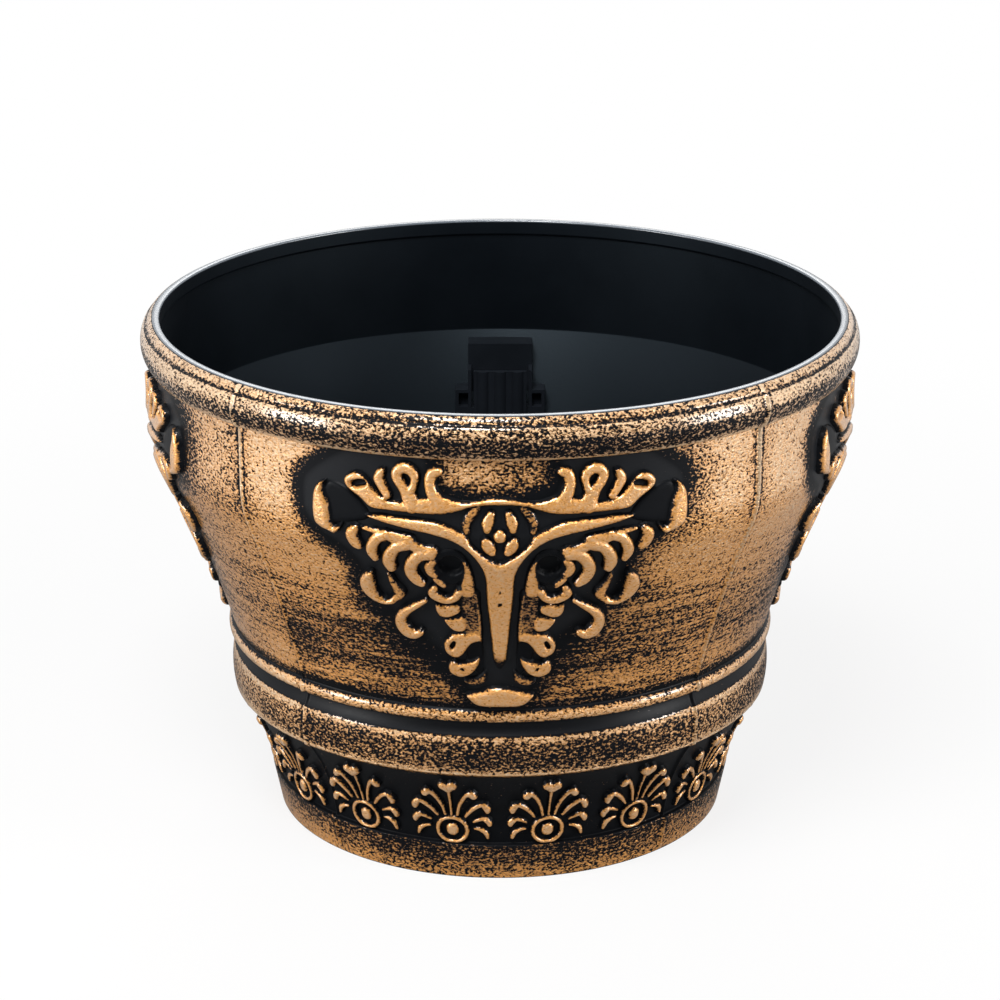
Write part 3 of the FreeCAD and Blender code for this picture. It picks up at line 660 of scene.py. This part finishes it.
angles = column_angles()
ZONE_PAINT = {
    # places up each zone but the wall, the paint there, and how streaky it is
    "plinth": ((0.0, 0.15, 0.4, 0.65, 1.0), (0.7, 0.6, 0.47, 0.4, 0.28), 0.45),
    # The frieze's paint just under 0 keeps its bare plastic at the darkest black, a painted shade under
    # the belt; the groove's lower paint gives it a painted sheen
    "frieze": ((0.0, 1.0), (-0.1, -0.1), 0.0),
    "belt_edge": ((0.0, 1.0), (0.2, 0.7), 0.2),
    "belt": ((0.0, 0.08, 0.25, 0.75, 0.88, 0.95, 1.0), (1.0, 0.58, 0.39, 0.41, 0.5, 0.86, 0.6), 0.15),
    "groove": ((0.0, 1.0), (-0.18, -0.18), 0.0),
    "ring": ((0.0, 0.2, 0.6, 0.9, 1.0), (0.4, 0.7, 0.76, 0.55, 0.25), 0.2),
    "bead_edge": ((0.0, 1.0), (0.9, 1.0), 0.2),
    "bead": ((0.0, 0.1, 0.25, 0.55, 0.78, 1.0), (1.0, 0.46, 0.32, 0.34, 0.54, 0.62), 0.4),
    "lip_foot": ((0.0, 1.0), (0.26, 0.26), 0.4),
    # At -1 the lip and its top are bare and glossy, with the blue-grey of a painted reflection
    "lip": ((0.0, 0.2, 0.5, 0.78, 0.88, 1.0), (0.3, 0.54, 0.58, 0.56, -1.0, -1.0), 0.4),
    "lip_top": ((0.0, 1.0), (-1.0, -1.0), 0.0),
    "inside": ((0.0, 1.0), (-0.3, -0.3), 0.0),
}
# A place with paint between these amounts counts as painted in part, and above them as painted
PAINTED = (0.2, 0.5)
# Painted sheen that makes the bronze paler in a zone where white highlights fall, 0 where none is given;
# the wall has less of it low down
ZONE_SHEEN = {"plinth": -0.35, "belt": 0.35, "ring": 0.15, "bead": 0.7, "lip_foot": 0.6, "lip": 0.5}
WALL_SHEEN = 0.2
LOW_SHEEN_LESS = 0.4
SHEEN_RISE = (155.0, 178.0)
# The wall is streaky low down and nearly even under the collar, and its flecks are calmer low down
HIGH_STREAK = 0.12
LOW_CALM = 0.1
STREAK_FADE = (128.0, 166.0)
# The relief: its streaks, painted sheen and flecks, and how full the paint lies on each ornament
RELIEF_STREAK = 0.15
RELIEF_SHEEN = -0.1
RELIEF_FLECK = 0.52
CARTOUCHE_COVER = 0.91
PALMETTE_COVER = 1.06

# Paint on the wall: its amount low down, and how much more lies under the collar
WALL_PAINT = 0.52
WALL_MORE = 0.36
WALL_RISE = (108.0, 160.0)
# Less of it low down, in the middle of a side and to the left of that
MIDDLE_LESS = 0.1
MIDDLE_REACH = (20.0, 80.0)
LEFT_LESS = 0.08
LEFT_REACH = (15.0, 45.0)
LEFT_TOP = (105.0, 132.0)
# Bands round the wall, by height, width and extra paint: over the ring, in the corner, at the kink
WALL_BANDS = [(93.0, 6.0, 0.14), (85.0, 2.0, -0.4), (KINK_Z, 4.0, -0.1)]
# Less of it beside the parting lines, high up, and over the middle of a cartouche
SEAM_LESS = 0.24
SEAM_REACH = 7.0
SEAM_RISE = (150.0, 175.0)
CROWN_LESS = 0.22
CROWN_RISE = (180.0, 188.0)
CROWN_REACH = (20.0, 30.0)
# Lines along a parting line, by distance from it, width and extra paint; they are fainter low down
SEAM_LINES = [(0.0, 0.8, 0.8), (1.9, 0.6, -0.36)]
LINE_LOW_SHARE = 0.4
LINE_RISE = (150.0, 185.0)
# Number of a side, counted from the front, and its paint over the front's: low down, under the collar
SIDE_PAINT = [(1, 0.12, 0.0), (2, 0.1, -0.06), (3, 0.18, -0.16)]
# Heights between which the one turns into the other, and turns, in sides, where the next side begins
SIDE_RISE = (95.0, 165.0)
SIDE_EDGE = (0.46, 0.54)
# The bead and the lip have more paint away from the front, which grows between these turns
BEAD_SIDE_MORE = 0.16
BEAD_TURN = (0.2, 1.0)
# Outline of the bare ground round a cartouche, wider on its left
BARE = [
    (0, 184.6), (11, 185.2), (18.6, 187.4), (20.6, 192), (22, 203), (42, 205), (56, 203), (66, 196.5),
    (72.6, 189), (71.8, 179), (69.6, 170), (61.5, 164.5), (54.5, 160), (50.5, 155.5), (49.5, 148),
    (48.5, 140), (45, 134.5), (40.5, 130), (38, 124), (30, 118.5), (24.5, 112), (20, 104), (16, 97),
    (14.6, 91), (10, 87), (0, 86.4), (-10, 87), (-15, 91), (-17, 96), (-22, 103), (-29, 110),
    (-37, 117), (-43.5, 124), (-48.5, 131.5), (-53, 137.5), (-56, 145), (-58, 152), (-62.5, 157.4),
    (-70, 162), (-76, 168.6), (-78, 177), (-77.4, 187), (-70.5, 195), (-58, 203), (-42, 205),
    (-27, 203), (-25, 192), (-22, 187.2), (-11, 185.0),
]
# Width of its rough edge at six heights, the share of that over which the paint begins, and its own paint
BARE_EDGE = ((90.0, 110.0, 135.0, 160.0, 175.0, 190.0), (7.0, 18.0, 13.0, 7.0, 5.0, 7.0))
BARE_RAMP = 0.75
BARE_PAINT = -0.24
# How far beyond the cartouche's field it is looked for, and the fringe where paint is thinned down
BARE_REACH = 30.0
FRINGE_RIGHT = 17.0
FRINGE_LEFT = 8.0
FRINGE_PAINT = 0.5
# The parting lines and dents begin over the foot
FOOT_FADE = (0.5, 3.0)


def wall_paint(angle, radius, height):
    """Paint on the wall: full under the collar, thin low down, none in a halo round each cartouche."""
    across = across_side(angle, radius)
    high = smoothstep(*WALL_RISE, height)
    middle = 1.0 - smoothstep(*MIDDLE_REACH, np.abs(across))
    paint = WALL_PAINT + WALL_MORE * high - MIDDLE_LESS * middle * (1.0 - high)
    paint -= LEFT_LESS * smoothstep(*LEFT_REACH, -across) * (1.0 - smoothstep(*LEFT_TOP, height))
    for centre, width, more in WALL_BANDS:
        paint += more * hump(height, centre, width)
    paint -= SEAM_LESS * hump(from_seam(angle, radius), 0.0, SEAM_REACH) * smoothstep(*SEAM_RISE, height)
    crown = smoothstep(*CROWN_RISE, height) * (1.0 - smoothstep(*CROWN_REACH, np.abs(across)))
    paint -= CROWN_LESS * crown
    gap = np.full(across.shape, FAR)
    near = np.abs(across) < LEAF_FIELD[0] + BARE_REACH
    gap[near] = patch_gap(across[near], height[near], BARE)
    fringe = 1.0 - smoothstep(0.0, np.where(across > 0, FRINGE_RIGHT, FRINGE_LEFT), gap)
    paint -= fringe * np.clip(paint - FRINGE_PAINT, 0.0, None)
    bare = 1.0 - smoothstep(-BARE_RAMP, BARE_RAMP, gap / np.interp(height, *BARE_EDGE))
    return paint + (BARE_PAINT - paint) * bare


def side_paint(angle, height):
    """Paint that each side has over the front's, low down and under the collar, and over the collar."""
    high = smoothstep(*SIDE_RISE, height)
    extra = np.zeros(angle.shape)
    for number, low_extra, high_extra in SIDE_PAINT:
        turn = np.abs(turn_from(angle, number * SIDE_STEP))
        share = 1.0 - smoothstep(*SIDE_EDGE, turn / SIDE_STEP)
        extra += share * (low_extra + (high_extra - low_extra) * high)
    kept = BEAD_SIDE_MORE * smoothstep(*BEAD_TURN, np.abs(turn_from(angle, 0.0)))
    return np.where(height > COLLAR_Z, kept, extra)


def seam_paint(angle, radius, height):
    """Paint that the parting lines add and take away."""
    seam = np.abs(from_seam(angle, radius))
    strong = LINE_LOW_SHARE + (1.0 - LINE_LOW_SHARE) * smoothstep(*LINE_RISE, height)
    return strong * sum(more * hump(seam, place, width) for place, width, more in SEAM_LINES)


def body_points(angle, radius, height):
    """Points of the pot, with its parting lines and the dents under the cartouches' eyes."""
    outside = np.array([zone not in ("inside", "lip", "lip_top") for zone in row_zones])
    weight = (outside * smoothstep(*FOOT_FADE, rows[:, 1]))[:, None]
    shown = radius + parting_lift(angle, radius) * weight
    eye = np.hypot(np.abs(across_side(angle, radius)) - EYE[0], height - EYE[1])
    shown = shown - EYE_DENT * (1.0 - smoothstep(*DENT_EDGE, eye)) * weight
    return np.stack([shown * np.sin(angle), -shown * np.cos(angle), height], -1)


def body_finish(angle, radius, height):
    """Paint, streakiness, painted sheen and flecks of the pot."""
    paint = np.zeros(angle.shape)
    streak = np.zeros(angle.shape)
    pale_sheen = np.zeros(angle.shape)
    fleck = np.ones(angle.shape)
    for i, zone in enumerate(row_zones):
        if zone in ZONE_PAINT:
            places, cover, streak[i] = ZONE_PAINT[zone]
            paint[i] = np.interp(row_places[i], places, cover)
        pale_sheen[i] = ZONE_SHEEN.get(zone, 0.0)
    on_wall = [i for i, zone in enumerate(row_zones) if zone == "wall"]
    up = height[on_wall]
    low = 1.0 - smoothstep(*STREAK_FADE, up)
    paint[on_wall] = wall_paint(angle[on_wall], radius[on_wall], up)
    streak[on_wall] = HIGH_STREAK + (1.0 - HIGH_STREAK) * low
    pale_sheen[on_wall] = WALL_SHEEN - LOW_SHEEN_LESS * (1.0 - smoothstep(*SHEEN_RISE, up))
    fleck[on_wall] = 1.0 - LOW_CALM * low
    painted = smoothstep(*PAINTED, paint)
    paint = paint + (seam_paint(angle, radius, height) + side_paint(angle, height)) * painted
    return paint, streak, pale_sheen, fleck


def pot_body():
    """The whole pot as one closed skin turned about Z."""
    angle = np.broadcast_to(angles, (len(rows), len(angles)))
    radius = np.broadcast_to(rows[:, :1], angle.shape)
    height = np.broadcast_to(rows[:, 1:], angle.shape)
    points = body_points(angle, radius, height)
    numbers = np.arange(angle.size).reshape(angle.shape)
    across = np.roll(numbers, -1, axis=1)
    quads = np.stack([numbers, across, np.roll(across, -1, axis=0), np.roll(numbers, -1, axis=0)], -1)
    piece = quad_mesh("pot_body", points.reshape(-1, 3), quads.reshape(-1, 4))
    give_finish(piece, *body_finish(angle, radius, height))
    inner = np.array([zone == "inside" for zone in row_zones])
    inner = inner & np.roll(inner, -1)
    piece.data.polygons.foreach_set("material_index", np.repeat(inner, len(angles)).astype(np.int32))
    return piece


# Nodes of the materials
def new_material(name):
    material = bpy.data.materials.new(name)
    material.use_nodes = True
    tree = material.node_tree
    return material, tree, tree.nodes["Principled BSDF"]


def put(tree, kind, settings=None, **inputs):
    """A shader node with its settings and inputs; i0, i1 and i2 go by number, and a socket is linked."""
    node = tree.nodes.new("ShaderNode" + kind)
    for key, value in (settings or {}).items():
        setattr(node, key, value)
    for key, value in inputs.items():
        key = int(key[1:]) if key[0] == "i" and key[1:].isdigit() else key.replace("_", " ")
        if isinstance(value, bpy.types.NodeSocket):
            tree.links.new(value, node.inputs[key])
        else:
            node.inputs[key].default_value = value
    return node


def calc(tree, operation, a, b=0.0, c=0.0, clamp=False):
    settings = {"operation": operation, "use_clamp": clamp}
    return put(tree, "Math", settings, i0=a, i1=b, i2=c).outputs[0]


def object_place(tree):
    return put(tree, "TexCoord").outputs["Object"]


def own_value(tree, name):
    """The numbers of one name that give_finish gave the mesh."""
    return put(tree, "Attribute", {"attribute_name": name}).outputs["Fac"]


def noise(tree, place, scale, detail, roughness, stretch=None):
    """Noise with a scale in forms per metre; stretch squeezes it along an axis."""
    if stretch:
        place = put(tree, "Mapping", Vector=place, Scale=stretch).outputs[0]
    made = put(tree, "TexNoise", Vector=place, Scale=scale, Detail=detail,
               Roughness=roughness)
    return made.outputs[0]


def away_from_half(tree, value, share, rest):
    """Rest plus a share of how far a noise stands from its middle."""
    return calc(tree, "MULTIPLY_ADD", calc(tree, "SUBTRACT", value, 0.5), share, rest)


def ramp(tree, value, span, ends):
    """Smooth rise over a span of the value, from the first to the second end."""
    made = put(tree, "MapRange", {"interpolation_type": "SMOOTHSTEP"}, Value=value,
               From_Min=span[0], From_Max=span[1], To_Min=ends[0], To_Max=ends[1])
    return made.outputs[0]


# Colour sockets of the Mix node, by number because its other types share their names
MIX_FIRST = 6
MIX_SECOND = 7
MIX_RESULT = 2


def mix_colour(tree, share, a, b):
    made = put(tree, "Mix", {"data_type": "RGBA"}, Factor=share)
    for socket, value in ((made.inputs[MIX_FIRST], a), (made.inputs[MIX_SECOND], b)):
        if isinstance(value, bpy.types.NodeSocket):
            tree.links.new(value, socket)
        else:
            socket.default_value = (*value, 1.0)
    return made.outputs[MIX_RESULT]


def add_bumps(tree, shader, height, strength, depth):
    bump = put(tree, "Bump", Strength=strength, Distance=depth, Height=height)
    tree.links.new(bump.outputs[0], shader.inputs["Normal"])


# Colours
BLACK = (0.0014, 0.002, 0.003)
DEEP_GREY = (0.0036, 0.005, 0.0072)
# Blue-grey of the glossy lip, a painted reflection in its black plastic
LIP_PAINTED_REFLECTION = (0.09, 0.108, 0.13)
# Lighter grey clouding of the sockets, partly a painted sheen for the light on their tongues and flutes
SOCKET_SHEEN_GREY = (0.016, 0.019, 0.025)
# Bare plastic of the bronzed pieces: black, which on the frieze and in the relief's recesses stands as
# painted shade, and a blue-grey painted sheen
BLACK_AND_SHADE = (0.0034, 0.004, 0.0052)
SHEEN_GREY_BLACK = (0.011, 0.0122, 0.0148)
BRONZE_DARK = (0.12, 0.048, 0.011)
BRONZE = (0.67, 0.295, 0.058)
# Paler bronze of thick paint, which the painted sheen also brings in to stand for white highlights
BRONZE_THICK_AND_SHEEN = (0.66, 0.465, 0.285)
RUBBER = (0.02, 0.02, 0.021)
RUBBER_DUST = (0.05, 0.049, 0.047)

# Bronze finish, its noises: forms per metre, detail, roughness and stretch
SPECKLE = (780.0, 2.0, 0.6, (1.0, 1.0, 1.4))
DASHES = (420.0, 3.0, 0.65, (1.0, 1.0, 3.4))
STREAKS = (24.0, 5.0, 0.72, (1.0, 1.0, 26.0))
BLOTCH = (42.0, 3.0, 0.6)
# How much each of them breaks up the paint, and how sharp the paint's edge is
SPECKLE_SHARE = 2.6
DASH_SHARE = 1.0
STREAK_SHARE = 1.7
BLOTCH_SHARE = 0.4
PAINT_SHARPNESS = 9.0
# A layer is made up of the broken cover and the drawn paint; it is dark where thin, and paler where thick
# or under a painted sheen
LAYER_COVER = 0.7
LAYER_PAINT = 0.3
THIN_FROM = 0.42
THIN_SLOPE = 3.0
THICK_FROM = 0.68
THICK_SLOPE = 1.7
# Paint below 0 is bare plastic, greyer with a painted sheen and then glossy with a painted reflection:
# slope and offset of each
BARE_SHEEN_RAMP = (-3.4, -0.34)
GLOSS = (-1.7, -0.7)
# Metal, roughness, shine and coat: of the bare plastic, and what paint, the painted sheen, gloss and
# speckle add
PAINT_METAL = 0.45
BARE_ROUGH = 0.36
PAINT_ROUGH = -0.13
GLOSS_ROUGH = -0.17
SPECKLE_ROUGH = 0.12
BARE_SHINE = 0.08
GREY_SHINE = 0.14
GLOSS_SHINE = 0.8
PAINT_SHINE = 0.2
EXPORT_SHINE = 0.2
PAINT_COAT = 0.9
COAT_ROUGH = 0.18
COAT_IOR = 1.7
# Bumps of the paint: what the speckle adds to the paint's own height, their strength and depth
GRAIN_SPECKLE = 2.6
GRAIN_HEIGHT = 0.5
GRAIN_STRENGTH = 0.9
GRAIN_DEPTH = 0.0004


def brushed_cover(tree, place, paint, speckle, fleck):
    """The drawn paint, broken up by brush marks, specks and blotches."""
    marks = away_from_half(tree, noise(tree, place, *DASHES), DASH_SHARE, 0.0)
    marks = away_from_half(tree, noise(tree, place, *STREAKS), STREAK_SHARE, marks)
    cover = calc(tree, "MULTIPLY_ADD", marks, own_value(tree, "streak"), paint)
    cover = away_from_half(tree, speckle, calc(tree, "MULTIPLY", fleck, SPECKLE_SHARE), cover)
    return away_from_half(tree, noise(tree, place, *BLOTCH), BLOTCH_SHARE, cover)


def bronze_colour(tree, cover, paint):
    """Bronze that is dark where its layer is thin, and paler where it is thick or under a painted sheen.
    """
    layer = calc(tree, "MULTIPLY_ADD", cover, LAYER_COVER, calc(tree, "MULTIPLY", paint, LAYER_PAINT))
    thin = calc(tree, "SUBTRACT", layer, THIN_FROM)
    thin = calc(tree, "MULTIPLY_ADD", thin, THIN_SLOPE, 0.0, clamp=True)
    thick = calc(tree, "SUBTRACT", layer, THICK_FROM)
    thick = calc(tree, "MULTIPLY_ADD", thick, THICK_SLOPE, own_value(tree, "pale_sheen"), clamp=True)
    return mix_colour(tree, thin, BRONZE_DARK, mix_colour(tree, thick, BRONZE, BRONZE_THICK_AND_SHEEN))


def bronzed_plastic():
    """Black plastic with bronze paint that was brushed over its high points, with painted sheen, shade
    and reflection in its colours.
    """
    material, tree, shader = new_material("bronzed_plastic")
    place = object_place(tree)
    paint = own_value(tree, "paint")
    fleck = own_value(tree, "fleck")
    speckle = noise(tree, place, *SPECKLE)
    cover = brushed_cover(tree, place, paint, speckle, fleck)
    mask = away_from_half(tree, cover, PAINT_SHARPNESS, 0.5)
    mask = calc(tree, "MINIMUM", calc(tree, "MAXIMUM", mask, 0.0), 1.0)
    # The bare plastic is blue-grey with a painted sheen, and on the lip the gloss brings in a painted
    # reflection
    bare_sheen = calc(tree, "MULTIPLY_ADD", paint, *BARE_SHEEN_RAMP, clamp=True)
    gloss = calc(tree, "MULTIPLY_ADD", paint, *GLOSS, clamp=True)
    bare = mix_colour(tree, gloss, mix_colour(tree, bare_sheen, BLACK_AND_SHADE, SHEEN_GREY_BLACK), LIP_PAINTED_REFLECTION)
    colour = mix_colour(tree, mask, bare, bronze_colour(tree, cover, paint))
    tree.links.new(colour, shader.inputs["Base Color"])
    tree.links.new(calc(tree, "MULTIPLY", mask, PAINT_METAL), shader.inputs["Metallic"])
    rough = calc(tree, "MULTIPLY_ADD", mask, PAINT_ROUGH, BARE_ROUGH)
    rough = calc(tree, "MULTIPLY_ADD", gloss, GLOSS_ROUGH, rough)
    rough = calc(tree, "MULTIPLY_ADD", speckle, SPECKLE_ROUGH, rough)
    tree.links.new(rough, shader.inputs["Roughness"])
    shine = calc(tree, "MULTIPLY_ADD", bare_sheen, GREY_SHINE, BARE_SHINE)
    shine = calc(tree, "MULTIPLY_ADD", gloss, GLOSS_SHINE, shine)
    shine = calc(tree, "MULTIPLY_ADD", mask, PAINT_SHINE, shine)
    tree.links.new(shine, shader.inputs["Specular IOR Level"])
    # The export drops that link and takes this value
    shader.inputs["Specular IOR Level"].default_value = EXPORT_SHINE
    tree.links.new(calc(tree, "MULTIPLY", mask, PAINT_COAT), shader.inputs["Coat Weight"])
    shader.inputs["Coat Roughness"].default_value = COAT_ROUGH
    shader.inputs["Coat IOR"].default_value = COAT_IOR
    grain = calc(tree, "MULTIPLY", speckle, fleck)
    grain = calc(tree, "MULTIPLY_ADD", grain, GRAIN_SPECKLE, GRAIN_HEIGHT)
    add_bumps(tree, shader, calc(tree, "MULTIPLY", mask, grain), GRAIN_STRENGTH, GRAIN_DEPTH)
    return material


# Plain plastic: its clouds and grain, roughness, shine and bumps
CLOUD = (18.0, 4.0, 0.6)
FINE_GRAIN = (900.0, 2.0, 0.5)
PLAIN_ROUGH = 0.36
CLOUD_ROUGH = 0.22
PLAIN_SHINE = 0.2
COOL_TINT = (0.66, 0.85, 1.0, 1.0)
FINE_STRENGTH = 0.12
FINE_DEPTH = 0.0002


def black_plastic(name, colour):
    """Smooth black plastic of the inside, faintly clouded with a second colour."""
    material, tree, shader = new_material(name)
    place = object_place(tree)
    cloud = noise(tree, place, *CLOUD)
    tree.links.new(mix_colour(tree, cloud, BLACK, colour), shader.inputs["Base Color"])
    rough = calc(tree, "MULTIPLY_ADD", cloud, CLOUD_ROUGH, PLAIN_ROUGH)
    tree.links.new(rough, shader.inputs["Roughness"])
    shader.inputs["Specular IOR Level"].default_value = PLAIN_SHINE
    shader.inputs["Specular Tint"].default_value = COOL_TINT
    add_bumps(tree, shader, noise(tree, place, *FINE_GRAIN), FINE_STRENGTH, FINE_DEPTH)
    return material


# Rubber: its dust, roughness and bumps
DUST = (260.0, 4.0, 0.65)
RUBBER_ROUGH = 0.55
DUST_ROUGH = 0.25
DUST_STRENGTH = 0.2
DUST_DEPTH = 0.0002


def plug_rubber():
    """Dull dark rubber with a little dust."""
    material, tree, shader = new_material("plug_rubber")
    dust = noise(tree, object_place(tree), *DUST)
    tree.links.new(mix_colour(tree, dust, RUBBER, RUBBER_DUST), shader.inputs["Base Color"])
    tree.links.new(calc(tree, "MULTIPLY_ADD", dust, DUST_ROUGH, RUBBER_ROUGH), shader.inputs["Roughness"])
    add_bumps(tree, shader, dust, DUST_STRENGTH, DUST_DEPTH)
    return material


bronze_finish = bronzed_plastic()
black_finish = black_plastic("black_plastic", DEEP_GREY)
# The sockets' lighter clouding is partly a painted sheen
socket_plastic_and_sheen = black_plastic("socket_plastic", SOCKET_SHEEN_GREY)
rubber_finish = plug_rubber()

# Pieces
pot = pot_body()
pot.data.materials.append(bronze_finish)
pot.data.materials.append(black_finish)
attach(pot, "pot")
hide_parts("pot_shell")


def add_relief(node, form, turn, cover):
    """One ornament, turned to its place round the pot, instead of its node."""
    points, faces, paint = form
    cosine = math.cos(turn)
    sine = math.sin(turn)
    points = points @ np.array([[cosine, sine, 0], [-sine, cosine, 0], [0, 0, 1]])
    piece = quad_mesh(node + "_relief", points, faces)
    give_finish(piece, paint * cover, RELIEF_STREAK, RELIEF_SHEEN, RELIEF_FLECK)
    piece.data.materials.append(bronze_finish)
    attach(piece, "pot")
    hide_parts(node)


leaf_form = relief_form(LEAF_FIELD, LEAF_PITCH, measure_cartouche)
for i, side in enumerate(SIDES):
    add_relief("cartouche_" + side, leaf_form, i * SIDE_STEP, CARTOUCHE_COVER)
# The front lies midway between the last palmette and the first
palmette_form = relief_form(PALMETTE_FIELD, PALMETTE_PITCH, measure_palmette)
for i in range(PALMETTES):
    add_relief("palmette_%02d" % (i + 1), palmette_form, (i + 0.5) * PALMETTE_STEP, PALMETTE_COVER)

plain_finishes = {"stake_socket_" + side: socket_plastic_and_sheen for side in SIDES}
plain_finishes["drain_grid"] = black_finish
plain_finishes["drain_plug"] = rubber_finish
for node, finish in plain_finishes.items():
    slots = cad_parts[node].data.materials
    slots.clear()
    slots.append(finish)

# Stage, in metres
WHITE = (1.0, 1.0, 1.0, 1.0)
FLOOR_REACH = 4.0
FLOOR_DROP = 0.0002
FLOOR_GREY = (0.66, 0.66, 0.66, 1.0)
FLOOR_ROUGH = 0.9
# The floor that the camera sees is nearly white by the pot, and wholly white away from it
WHITE_FADE = (0.12, 0.75)
WHITE_NEAR = 0.84
# The floor that gloss shows is darker in the middle than at its sides
GLOSS_FADE = (0.2, 0.55)
GLOSS_LIGHT = (0.22, 0.8)
GLOSS_SHARE = 0.9


def seen_in_gloss(tree, path):
    return calc(tree, "MAXIMUM", path["Is Glossy Ray"], path["Is Transmission Ray"])


def pale_floor():
    """A floor that looks white and still takes the shadow of the pot."""
    reach = FLOOR_REACH / MM
    down = -FLOOR_DROP / MM
    corners = [(-reach, -reach, down), (reach, -reach, down), (reach, reach, down), (-reach, reach, down)]
    floor = quad_mesh("floor", np.array(corners), np.array([[0, 1, 2, 3]]), smooth=False)
    material, tree, shader = new_material("pale_floor")
    shader.inputs["Base Color"].default_value = FLOOR_GREY
    shader.inputs["Roughness"].default_value = FLOOR_ROUGH
    shader.inputs["Specular IOR Level"].default_value = 0.0
    path = put(tree, "LightPath").outputs
    mirrored = seen_in_gloss(tree, path)
    place = object_place(tree)
    sideways = put(tree, "SeparateXYZ", Vector=place).outputs["X"]
    cards = ramp(tree, calc(tree, "ABSOLUTE", sideways), GLOSS_FADE, GLOSS_LIGHT)
    bright = calc(tree, "MULTIPLY_ADD", mirrored, cards, path["Is Camera Ray"])
    white = put(tree, "Emission", Color=WHITE, Strength=bright)
    away = put(tree, "VectorMath", {"operation": "LENGTH"}, i0=place).outputs["Value"]
    far = ramp(tree, away, WHITE_FADE, (WHITE_NEAR, 1.0))
    share = calc(tree, "MULTIPLY", path["Is Camera Ray"], far)
    share = calc(tree, "MULTIPLY_ADD", mirrored, GLOSS_SHARE, share)
    both = put(tree, "MixShader", i0=share, i1=shader.outputs[0], i2=white.outputs[0])
    tree.links.new(both.outputs[0], tree.nodes["Material Output"].inputs["Surface"])
    floor.data.materials.append(material)


# Even light on matt surfaces; in gloss, a studio that is dark behind the camera and white at the back
SKY_FILL = 0.14
DARK_SIDE = 0.12
STUDIO_FADE = (-0.95, 0.05)


def world_light():
    world = bpy.data.worlds.new("studio")
    bpy.context.scene.world = world
    world.use_nodes = True
    tree = world.node_tree
    path = put(tree, "LightPath").outputs
    way = put(tree, "TexCoord").outputs["Generated"]
    toward_back = put(tree, "SeparateXYZ", Vector=way).outputs["Y"]
    walls = ramp(tree, toward_back, STUDIO_FADE, (DARK_SIDE, 1.0))
    more = calc(tree, "SUBTRACT", walls, SKY_FILL)
    strength = calc(tree, "MULTIPLY_ADD", seen_in_gloss(tree, path), more, SKY_FILL)
    ground = tree.nodes["Background"]
    ground.inputs["Color"].default_value = WHITE
    tree.links.new(calc(tree, "MAXIMUM", strength, path["Is Camera Ray"]), ground.inputs["Strength"])


# Soft boxes: name, place, width and height, and watts; all of them face one point
AIM = (0.0, 0.0, 0.12)
SOFT_BOXES = [
    ("left_box", (-1.15, -0.62, 0.34), (0.45, 0.55), 10.5),
    ("right_box", (1.2, -0.5, 0.34), (0.45, 0.55), 11.0),
    ("top_box", (-0.2, -0.75, 1.4), (0.6, 0.6), 25.0),
    ("back_box", (0.0, 1.45, 1.15), (0.9, 0.9), 11.0),
]


def soft_box(name, place, size, power):
    lamp = bpy.data.lights.new(name, "AREA")
    lamp.shape = "RECTANGLE"
    lamp.size, lamp.size_y = size
    lamp.energy = power
    box = bpy.data.objects.new(name, lamp)
    box.location = place
    direction = np.array(AIM) - np.array(place)
    pan = math.atan2(direction[0], -direction[1])
    tilt = math.atan2(direction[2], math.hypot(direction[0], direction[1]))
    box.rotation_euler = (math.pi / 2 + tilt, 0.0, math.pi + pan)
    box.visible_camera = False
    bpy.context.scene.collection.objects.link(box)


# The camera, fitted to the ellipses of the rim and the foot: millimetres, metres and radians
SENSOR_WIDTH = 36.0
LENS = 116.49
CAMERA_PLACE = (0.0, -1.3006, 0.5987)
CAMERA_TILT = 0.345


def photo_camera():
    lens = bpy.data.cameras.new("camera")
    lens.sensor_width = SENSOR_WIDTH
    lens.lens = LENS
    camera = bpy.data.objects.new("camera", lens)
    camera.location = CAMERA_PLACE
    camera.rotation_euler = (math.pi / 2 - CAMERA_TILT, 0.0, 0.0)
    bpy.context.scene.collection.objects.link(camera)
    bpy.context.scene.camera = camera


pale_floor()
world_light()
for box in SOFT_BOXES:
    soft_box(*box)
photo_camera()
bpy.context.scene.view_settings.view_transform = "Standard"
